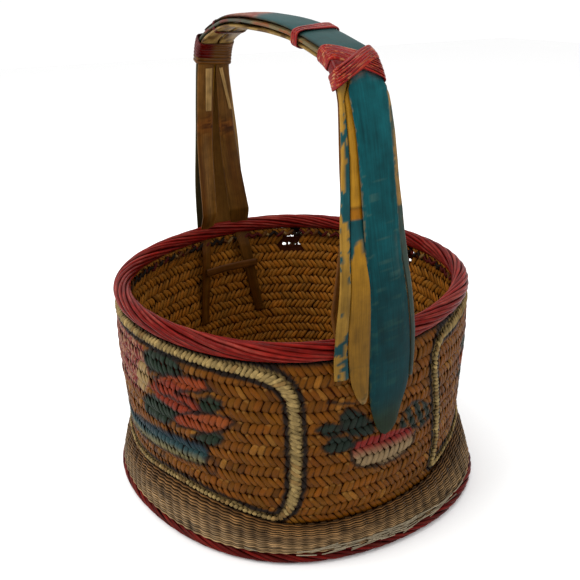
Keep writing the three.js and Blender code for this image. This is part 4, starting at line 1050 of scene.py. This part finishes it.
def side_b_colour(s, c, top, z, x):
    col = bamboo(lin((158, 112, 26)), 6, 0.25)(s, c, top, z, x)
    fr = (x > 0)
    n = fbm(s * 0.16, c * 2.0, 4, 151)
    # patch of teal below the node with a ragged lower edge
    jag = 7.5 * (vnoise(c * 3.4, 0, 0, 152) - 0.5) * 2
    k = smooth(252 + jag, 255 + jag, z) * (1 - smooth(270.5, 271.5, z)) * fr
    col = mixc(col, lin((14, 66, 70)) * (0.8 + 0.4 * n)[..., None], k)
    nd = np.exp(-((z - 278) / 0.9) ** 2) * fr
    col = mixc(col, lin((74, 38, 8)), nd * 0.8)
    band = smooth(270.5, 272, z) * (1 - smooth(277, 278.5, z)) * fr
    col = mixc(col, lin((138, 84, 8)), band * 0.85)
    tip = 1 - smooth(141, 149, z)
    col = mixc(col, lin((164, 132, 84)), tip * 0.7 * fr)
    sp = smooth(0.72, 0.78, vnoise(s * 0.3, c * 3, 9, 153)) * (1 - smooth(165, 175, z)) * fr
    col = mixc(col, lin((46, 54, 24)), sp * 0.6)
    arch = smooth(345, 362, z)
    col = mixc(col, col * 0.72, arch)
    return col


# painted shade: the colour is darkened lower down the handle legs
def painted_low_shade(f, lo=0.45):
    return lambda s, c, top, z, x: f(s, c, top, z, x) * (lo + (1 - lo) * smooth(190, 290, z))[..., None]


def side_c_colour(s, c, top, z, x):
    col = bamboo(lin((140, 108, 62)), 8, 0.3)(s, c, top, z, x)
    n = fbm(s * 0.1, c * 2.0, 4, 161)
    k = smooth(0.40, 0.5, n + 0.35 * (z < 276) - 0.1) * (x > 0)
    return mixc(col, lin((18, 62, 64)), k * 0.85 * np.where(top, 1, 0))


def inner_colour(seed, pale_top):
    def f(s, c, top, z, x):
        n1 = fbm(s * 0.012, c * 1.3, seed, 171)
        n2 = fbm(s * 0.03, c * 7, seed, 172)
        base = mixc(lin((104, 68, 22)), lin((88, 50, 8)), smooth(0.35, 0.65, n1)) * (1.0 if seed == 1 else 0.72)
        col = base * (1 - 0.3 * smooth(0.52, 0.72, n2))[..., None]
        back = x < 0
        # knuckle of the bamboo on the back leg
        z0 = 291.0 if seed == 1 else 288.0
        kn = np.exp(-((z - z0) / 7.5) ** 2) * back
        bl = fbm(s * 0.35, c * 3.5, seed, 173)
        col = mixc(col, mixc(lin((116, 66, 22)), lin((48, 20, 6)), smooth(0.42, 0.6, bl)), kn * 0.8)
        ln = np.exp(-((z - z0 + 2) / 0.9) ** 2) * back
        col = mixc(col, lin((40, 18, 6)), ln * 0.5)
        up = smooth(z0 + 8, z0 + 14, z) * back * (z < 350)
        col = mixc(col, lin((104, 68, 28)), up * 0.4)
        # lengthwise pale streak, a painted highlight, and a dark split
        col = mixc(col, lin((156, 122, 76)), 0.85 * np.exp(-((c + 0.12) / 0.09) ** 2) * back * (z < z0 - 8) * smooth(190, 200, z) * (seed == 1))
        col = mixc(col, lin((44, 20, 6)), 0.7 * np.exp(-((c - 0.45) / 0.07) ** 2) * back * (z < z0 - 4))
        low = (1 - smooth(176, 186, z))
        col = mixc(col, col * np.array([0.85, 0.75, 0.6]), low * 0.8)
        arch = smooth(352, 368, z)
        yel = mixc(lin((146, 118, 64)), lin((80, 56, 26)), smooth(0.42, 0.62, fbm(s * 0.08, c * 3, seed, 174)))
        col = mixc(col, yel, arch * 0.8)
        return col
    return f


zf = lambda z: s_at_z(1, z)
zb = lambda z: s_at_z(-1, z)
strip("blade_front", zf(110.6), s_at_x(118),
      {"l": [[110.6, -4.6], [112.6, -7.2], [118, -10.6], [125, -13.2], [135, -16.0], [145, -17.3], [163, -18.4], [181, -19.2], [198, -19.7],
             [247, -20.5], [265, -20.1], [291, -19.0], [308, -19.3], [325, -20.4], [343, -23.2]],
       "r": [[110.6, -2.2], [112.6, 3.2], [117.5, 7.2], [126.5, 9.6], [135, 12.5], [143, 15.2], [151, 17.0], [170, 17.2], [188, 15.8], [215, 12.0],
             [242, 7.6], [261, 6.9], [280, 7.2], [305, 7.0], [323, 5.9], [343, 4.6]]},
      {"l": [[0, -23.2], [1, -23.2]], "r": [[0, 4.6], [1, 4.6]]}, 0, BLADE_T, front_blade_colour, M_TEAL, "handle_front_blade",
      crown=0.8, taper1=17, arch="front", m=30, step=1.2, wav=0.35, seed=3)
strip("blade_back", s_at_x(-112), zb(109),
      {"l": [[0, -27], [1, -27]], "r": [[0, -1], [1, -1]]},
      {"l": [[109, 1.0], [115, -4], [124, -9], [134, -12], [157, -14], [178, -15], [215, -14.2], [250, -14.6], [280, -15.2], [300, -17.5], [343, -26]],
       "r": [[109, 3.4], [115, 8], [124, 14], [134, 18], [157, 20], [178, 21], [215, 18], [280, 7], [343, -1]]}, 0, BLADE_T,
      teal_colour(4), M_TEAL, "handle_back_blade", crown=0.8, taper0=17, arch="back", m=30, step=1.2, wav=0.35, seed=4)
strip("blade_top", s_at_x(117) + 3, s_at_x(-111) - 3, {"l": [[0, -28], [1, -28]], "r": [[0, 4], [1, 4]]}, {"l": [[0, -28], [1, -28]], "r": [[0, 1], [1, 1]]},
      0, BLADE_T, top_blade_colour, M_TEAL, "handle_top_blade", crown=0.8, taper0=10, taper1=10, m=30, wav=0.4, seed=5)
strip("side_strip_a", zf(163), zb(163),
      {"l": [[163, -43.4], [178, -43.8], [202, -42.4], [249, -37.6], [267, -35.5], [292, -31.5], [309, -29.9], [343, -28.8]],
       "r": [[163, -33.4], [184, -34.8], [201, -34.3], [248, -30.8], [265, -28.6], [279, -26.6], [292, -25.2], [309, -24.2], [343, -25.6]]},
      {"l": [[163, -31.4], [215, -31], [343, -29.6]], "r": [[163, -22.5], [215, -22.5], [280, -22.4], [343, -20.8]]},
      mid_depth, SIDE_T, painted_low_shade(side_a_colour, 0.6), M_OCHRE, "handle_side_strip_a", crown=0.55, wav=0.3, archf=(-29.2, -21), seed=6)
strip("side_strip_b", zf(141), zb(160),
      {"l": [[141, -23.6], [147, -27.4], [156, -30.8], [166, -32.8], [184, -34.3], [201, -33.9], [248, -30.4], [265, -28.2], [279, -26.2], [292, -24.8], [309, -23.8], [343, -25.2]],
       "r": [[141, -20.4], [147, -18.4], [163, -18.3], [181, -18.2], [198, -18.0], [247, -17.6], [265, -17.6], [277, -17.6], [291, -16.2], [309, -16.4], [343, -17.4]]},
      {"l": [[160, -21.7], [178, -21.9], [215, -21.9], [280, -21.8], [343, -20.4]], "r": [[160, -16.5], [215, -16.2], [282, -15.9], [300, -14], [343, -11]]},
      mid_depth, SIDE_T, painted_low_shade(side_b_colour, 0.42), M_OCHRE, "handle_side_strip_b", crown=0.6, wav=0.3, archf=(-20.4, -12), seed=7)
strip("side_strip_c", zf(152), zb(160),
      {"l": [[152, 17.4], [170, 17.5], [188, 16.2], [215, 12.4], [242, 8.0], [261, 7.3], [277, 7.5], [290, 5.4], [310, 4.6], [343, 1.6]], "r": [[152, 20], [170, 20.8], [188, 20.2], [215, 16.2], [236, 13.0], [259, 12.3], [273, 12.6], [287, 12.2], [304, 11.7], [322, 10.4], [343, 7.6]]},
      {"l": [[160, 21.6], [178, 22.0], [215, 18.9], [240, 15], [280, 7.6], [300, 0], [343, -7]], "r": [[160, 26], [178, 26], [215, 23], [280, 12], [343, 1.2]]},
      mid_depth, SIDE_T, painted_low_shade(side_c_colour, 0.6), M_OCHRE, "handle_side_strip_c", crown=0.4, wav=0.2, archf=(-6, 3.8), seed=8)
strip("inner_strip_left", zf(100), zb(84),
      {"l": [[100, -40], [190, -37], [270, -31], [343, -28]], "r": [[100, -26], [190, -22.5], [270, -17], [343, -13.6]]},
      {"l": [[84, -38.6], [168, -33], [200, -31.4], [343, -29.2]], "r": [[84, -29.5], [168, -23.0], [180, -18.5], [200, -15.6], [343, -14.2]]},
      inner_depth, INNER_T, inner_colour(1, True), M_BROWN, "handle_inner_strip_left", layer="inner", crown=0.4, wav=0.3, seed=1)
strip("inner_strip_right", zf(100), zb(84),
      {"l": [[100, -1], [190, -3.5], [270, -9], [343, -11.6]], "r": [[100, 13], [190, 11], [270, 6], [343, 4]]},
      {"l": [[84, 26], [168, 8], [200, -1.5], [290, -8.6], [343, -12.2]], "r": [[84, 35.5], [168, 20.0], [180, 21.5], [200, 20.0], [290, 6.2], [343, 0.4]]},
      inner_depth, INNER_T, inner_colour(2, True), M_BROWN, "handle_inner_strip_right", layer="inner", crown=0.4, wav=0.3, seed=2)
pale = bamboo(lin((150, 118, 70)), 9, 0.3)
strip("sliver_left", zb(343), zb(304), {"l": [[0, -20], [1, -20]], "r": [[0, -15], [1, -15]]}, {"l": [[304, -22.0], [343, -22.6]], "r": [[304, -16.6], [343, -16.2]]},
      INNER_D + INNER_T + 0.25, 1.0, pale, M_BROWN, "handle_sliver_left", layer="inner", crown=0.1, m=12, seed=10)
strip("sliver_right", zb(343), zb(304), {"l": [[0, -10], [1, -10]], "r": [[0, 0], [1, 0]]}, {"l": [[304, 1.0], [343, -9.8]], "r": [[304, 3.6], [343, -6.4]]},
      INNER_D + INNER_T + 0.25, 1.0, pale, M_BROWN, "handle_sliver_right", layer="inner", crown=0.1, m=12, seed=11)


# ---------------------------------------------------------------- bindings of flat cane
def loops(name, specs, node, mat=None, colour=None, n=72, m=10, worn=1.0):
    """specs: list of (s centre, tilt, y left, y right, depth out, depth in, half width, half thickness, lift)"""
    th = 2 * math.pi * np.arange(n) / n
    ph = 2 * math.pi * (np.arange(m) + 0.5) / m
    Vs, Cs, Gs = [], [], []
    for k, (sc, tilt, yl, yr, do, di, hw, ht, lift) in enumerate(specs):
        yc, dc = (yl + yr) / 2, (do + di) / 2
        ay, ad = (yr - yl) / 2 + 0.9 + lift * 0.5, (di - do) / 2 + 0.75 + lift
        p = 0.42
        cy = np.sign(np.cos(th)) * np.abs(np.cos(th)) ** p
        cd = np.sign(np.sin(th)) * np.abs(np.sin(th)) ** p
        y = yc + ay * cy
        d = dc + ad * cd
        s = sc + tilt * cy + 0.5 * (fbm(th * 2.0, k * 3.3, 0, 181) - 0.5)
        P = at(s, y, d)
        Pn = at(s, yc + (y - yc) * 0.9, dc + (d - dc) * 0.9)
        out = P - Pn; out /= np.linalg.norm(out, axis=1)[:, None]
        T = np.roll(P, -1, 0) - np.roll(P, 1, 0); T /= np.linalg.norm(T, axis=1)[:, None]
        out -= (out * T).sum(1)[:, None] * T; out /= np.linalg.norm(out, axis=1)[:, None]
        B = np.cross(T, out)
        w = hw * (1 + 0.18 * (fbm(th * 1.5, k * 1.9, 2, 182) - 0.5))
        sec = B[:, None] * (w[:, None] * np.cos(ph)[None])[..., None] + out[:, None] * (ht * np.sin(ph)[None] - 0.2 * np.cos(ph)[None] ** 2)[..., None]
        Vs.append(P[:, None] + sec)
        wv = fbm((th * 8)[:, None] + k * 7, np.cos(ph)[None] * 1.4, k, 183)
        w2 = fbm((th * 22)[:, None] + k * 7, np.cos(ph)[None] * 2.4, k, 184, 2)
        crest = np.clip(np.sin(ph), 0, 1)[None]
        tint = 1 + 0.22 * (vnoise(k * 2.3, 0.5, 0, 185) - 0.5) * 2
        base = lin((128, 8, 4)) * tint
        c = base * (0.7 + 0.55 * wv)[..., None]
        wear = np.clip((wv * 0.6 + w2 * 0.4 - 0.56) * 7, 0, 1) * crest * 0.75 * worn
        c = mixc(c, lin((168, 84, 36)), wear)
        wear2 = np.clip((w2 - 0.72) * 8, 0, 1) * crest * 0.6 * worn
        c = mixc(c, lin((190, 150, 100)), wear2)
        if colour:
            c = colour(c, y[:, None] + 0 * c[..., 0], d[:, None] + 0 * c[..., 0], th, k)
        # painted shade along both edges of each cane, where it meets its neighbours
        c = c * (0.3 + 0.7 * np.clip(1 - np.abs(np.cos(ph))[None, :, None] ** 4, 0, 1))
        Cs.append(c)
        Gs.append(np.stack([np.broadcast_to((th * 14)[:, None], wv.shape), np.broadcast_to(np.cos(ph)[None] * hw, wv.shape), np.full(wv.shape, k * 9.0)], -1))
    V = np.concatenate([v.reshape(-1, 3) for v in Vs]); C = np.concatenate([c.reshape(-1, 3) for c in Cs]); G = np.concatenate([g.reshape(-1, 3) for g in Gs])
    make(name, V, quads_of(len(specs), n, m, closed=True), C, G, mat or M_REDBIND, (node,))


STACK = INNER_D + INNER_T
FYL, FYR = -29.2, 3.2
sc = s_at_x(114)
# two crossing arms of flat cane over an under-wrap: one arm runs from the left of the arch down to the right edge,
# the other from the lower left up to the right
def under_wrap():
    n, m = 14, 80
    th = 2 * math.pi * (np.arange(m) + 0.5) / m
    p = 0.42
    cy = np.sign(np.cos(th)) * np.abs(np.cos(th)) ** p
    cd_ = np.sign(np.sin(th)) * np.abs(np.sin(th)) ** p
    u = np.linspace(0, 1, n)[:, None]
    lo_ = np.where(cd_ < 0.3, 294 - 10 * np.abs(cy) ** 2 + 5 * (cy > 0), 283.0)[None]
    hi_ = (300 + 9 * np.abs(cy) ** 2)[None]
    s = lo_ + (hi_ - lo_) * u
    e = np.minimum(1, np.minimum(u, 1 - u) * 14 + 0.1)
    y = (FYL + FYR) / 2 + ((FYR - FYL) / 2 + 0.1 + 0.45 * e) * cy[None]
    d = (STACK - 0.2) / 2 + ((STACK + 0.2) / 2 + 0.1 + 0.45 * e) * cd_[None]
    V = at(s, y, d)
    g = fbm(s * 0.9, cy[None] * 1.2, cd_[None], 195)
    C = lin((118, 8, 5)) * (0.45 + 0.8 * g)[..., None]
    # dark lines every 3.2 mm: painted shade between the canes of the wrap
    ln = np.abs(np.sin(math.pi * (s - 280) / 3.2))
    C = C * (0.5 + 0.5 * ln)[..., None]
    G = np.stack([y, s, d], -1)
    make("bind_front_under", V, quads_of(1, n, m, cap=False), C, G, M_REDBIND, ("binding_front_lower",))


under_wrap()
loops("bind_front_arm_two", [(294.6 - 6.3 + 1.8 * k, -8.8, FYL, FYR, -0.2, STACK, 1.45, 0.5, 0.25 + 0.12 * (k % 2)) for k in range(8)], "binding_front_upper", worn=0.9)
loops("bind_front_arm_one", [(291.6 - 4.9 + 1.85 * k, 8.8, FYL, FYR, -0.2, STACK, 1.45, 0.5, 0.85 + 0.12 * (k % 2)) for k in range(6)], "binding_front_lower", worn=1.1)
loops("bind_mid", [(s_at_x(66.5) + 3.2 * (k - 1), 3.0 + 0.6 * k, -29.4, 3.8, -0.2, STACK + 0.4, 1.6, 0.6, 0.05 * k) for k in range(3)], "binding_mid_ring", worn=0.5)


def back_wrap_colour(c, y, d, th, k):
    inner = smooth(5.0, 7.5, d) * smooth(-20, -15, y) + 0.55 * smooth(-6, 0, y) * smooth(2, 5, d)
    n = fbm(y * 0.3, d * 0.5, k, 191)
    c = c * np.array([0.34, 0.16, 0.2])
    return mixc(c, lin((92, 58, 18)) * (0.7 + 0.5 * n)[..., None], np.clip(inner + (k > 5.5), 0, 1) * 0.9)


loops("bind_back_wrap", [(zb(368) + 3.3 * k, 1.2, -29.8, 1.4, -0.2, STACK, 1.7, 0.6, 0.0) for k in range(8)], "binding_back_wrap", colour=back_wrap_colour, worn=0.5)
loops("bind_back_ring", [(s_at_x(-77) + 2.2 * k, 2.0, -27.8, 0.2, 0.8, STACK + 0.2, 1.1, 0.5, 0.0) for k in range(2)], "binding_back_ring", colour=back_wrap_colour, worn=0.5)


# ---------------------------------------------------------------- cross ties of the inner strips
def tie(name, side, z0, ya, yb, h, node):
    n, m = 40, 12
    y = np.linspace(ya, yb, n)
    ph = 2 * math.pi * (np.arange(m) + 0.5) / m
    a = np.arctan2(y, side * 140)
    R = np.interp(z0, ENV_IN[:, 0], ENV_IN[:, 1]) * plan(a, z0) - INNER_T - 2.9
    RR = R[:, None] + 1.0 * np.sin(ph)[None]
    z = z0 + h * np.sign(np.cos(ph)) * np.abs(np.cos(ph)) ** 0.5
    Z = z[None] + 0.25 * (fbm(y * 0.2, 0, 0, 201) - 0.5)[:, None]
    V = np.stack([side * np.sqrt(RR ** 2 - (y ** 2)[:, None]), np.broadcast_to(y[:, None], RR.shape), Z], -1)
    C = lin((78, 44, 12)) * (0.75 + 0.5 * fbm(y[:, None] * 0.1, np.cos(ph)[None], 0, 202))[..., None]
    G = np.stack([np.broadcast_to(y[:, None], RR.shape), np.broadcast_to(np.cos(ph)[None] * h, RR.shape), 0 * RR], -1)
    make(name, V, quads_of(1, n, m), C, G, M_BROWN, (node,))


tie("tie_back", -1, 143, -31, 26, 4.0, "inner_tie_back")
tie("tie_front", 1, 143, -40, 13, 4.0, "inner_tie_front")

# ---------------------------------------------------------------- floor, light, camera
me = bpy.data.meshes.new("studio_floor")
F = 4.0
me.from_pydata([(-F, -F, 0), (F, -F, 0), (F, F, 0), (-F, F, 0)], [], [(0, 1, 2, 3)])
fl = bpy.data.objects.new("studio_floor", me)
bpy.context.scene.collection.objects.link(fl)
fl.location.z = -0.0004
mf = bpy.data.materials.new("studio_floor")
mf.use_nodes = True
mf.node_tree.nodes["Principled BSDF"].inputs["Base Color"].default_value = (0.93, 0.93, 0.93, 1)
mf.node_tree.nodes["Principled BSDF"].inputs["Roughness"].default_value = 0.9
mf.node_tree.nodes["Principled BSDF"].inputs["Specular IOR Level"].default_value = 0.1
me.materials.append(mf)

w = bpy.data.worlds.new("studio")
bpy.context.scene.world = w
w.use_nodes = True
w.node_tree.nodes["Background"].inputs[0].default_value = (1, 1, 1, 1)
w.node_tree.nodes["Background"].inputs[1].default_value = 1.04


def area(name, loc, target, size, power, colour=(1, 1, 1)):
    ld = bpy.data.lights.new(name, "AREA")
    ld.shape = "RECTANGLE"; ld.size = size[0]; ld.size_y = size[1]
    ld.energy = power; ld.color = colour
    lo = bpy.data.objects.new(name, ld)
    bpy.context.scene.collection.objects.link(lo)
    from mathutils import Vector
    d = Vector(target) - Vector(loc)
    lo.location = loc
    lo.rotation_euler = d.to_track_quat("-Z", "Y").to_euler()


from mathutils import Matrix, Vector
R_ = Vector((0.4584462360, 0.8885476594, -0.0176098183))
U_ = Vector((-0.3469123581, 0.1971619753, 0.9169400042))
B_ = Vector((0.8182168811, -0.4142586300, 0.3986363293))
cd = bpy.data.cameras.new("main")
cd.lens = 43.36098
cd.sensor_width = 36.0
cd.clip_start = 0.02
cam = bpy.data.objects.new("main", cd)
bpy.context.scene.collection.objects.link(cam)
cam.matrix_world = Matrix(((R_.x, U_.x, B_.x, 0.49280338), (R_.y, U_.y, B_.y, -0.25109587), (R_.z, U_.z, B_.z, 0.40602298), (0, 0, 0, 1)))
bpy.context.scene.camera = cam

area("key", (-0.05, -1.3, 1.6), (0, 0, 0.2), (1.0, 1.0), 22, (1, 0.985, 0.96))
area("fill", (1.3, 0.7, 1.2), (0, 0, 0.2), (1.2, 1.2), 2)
area("top", (-0.3, 0.2, 1.8), (0, 0, 0.1), (1.6, 1.6), 11)

bpy.context.scene.view_settings.view_transform = "Standard"
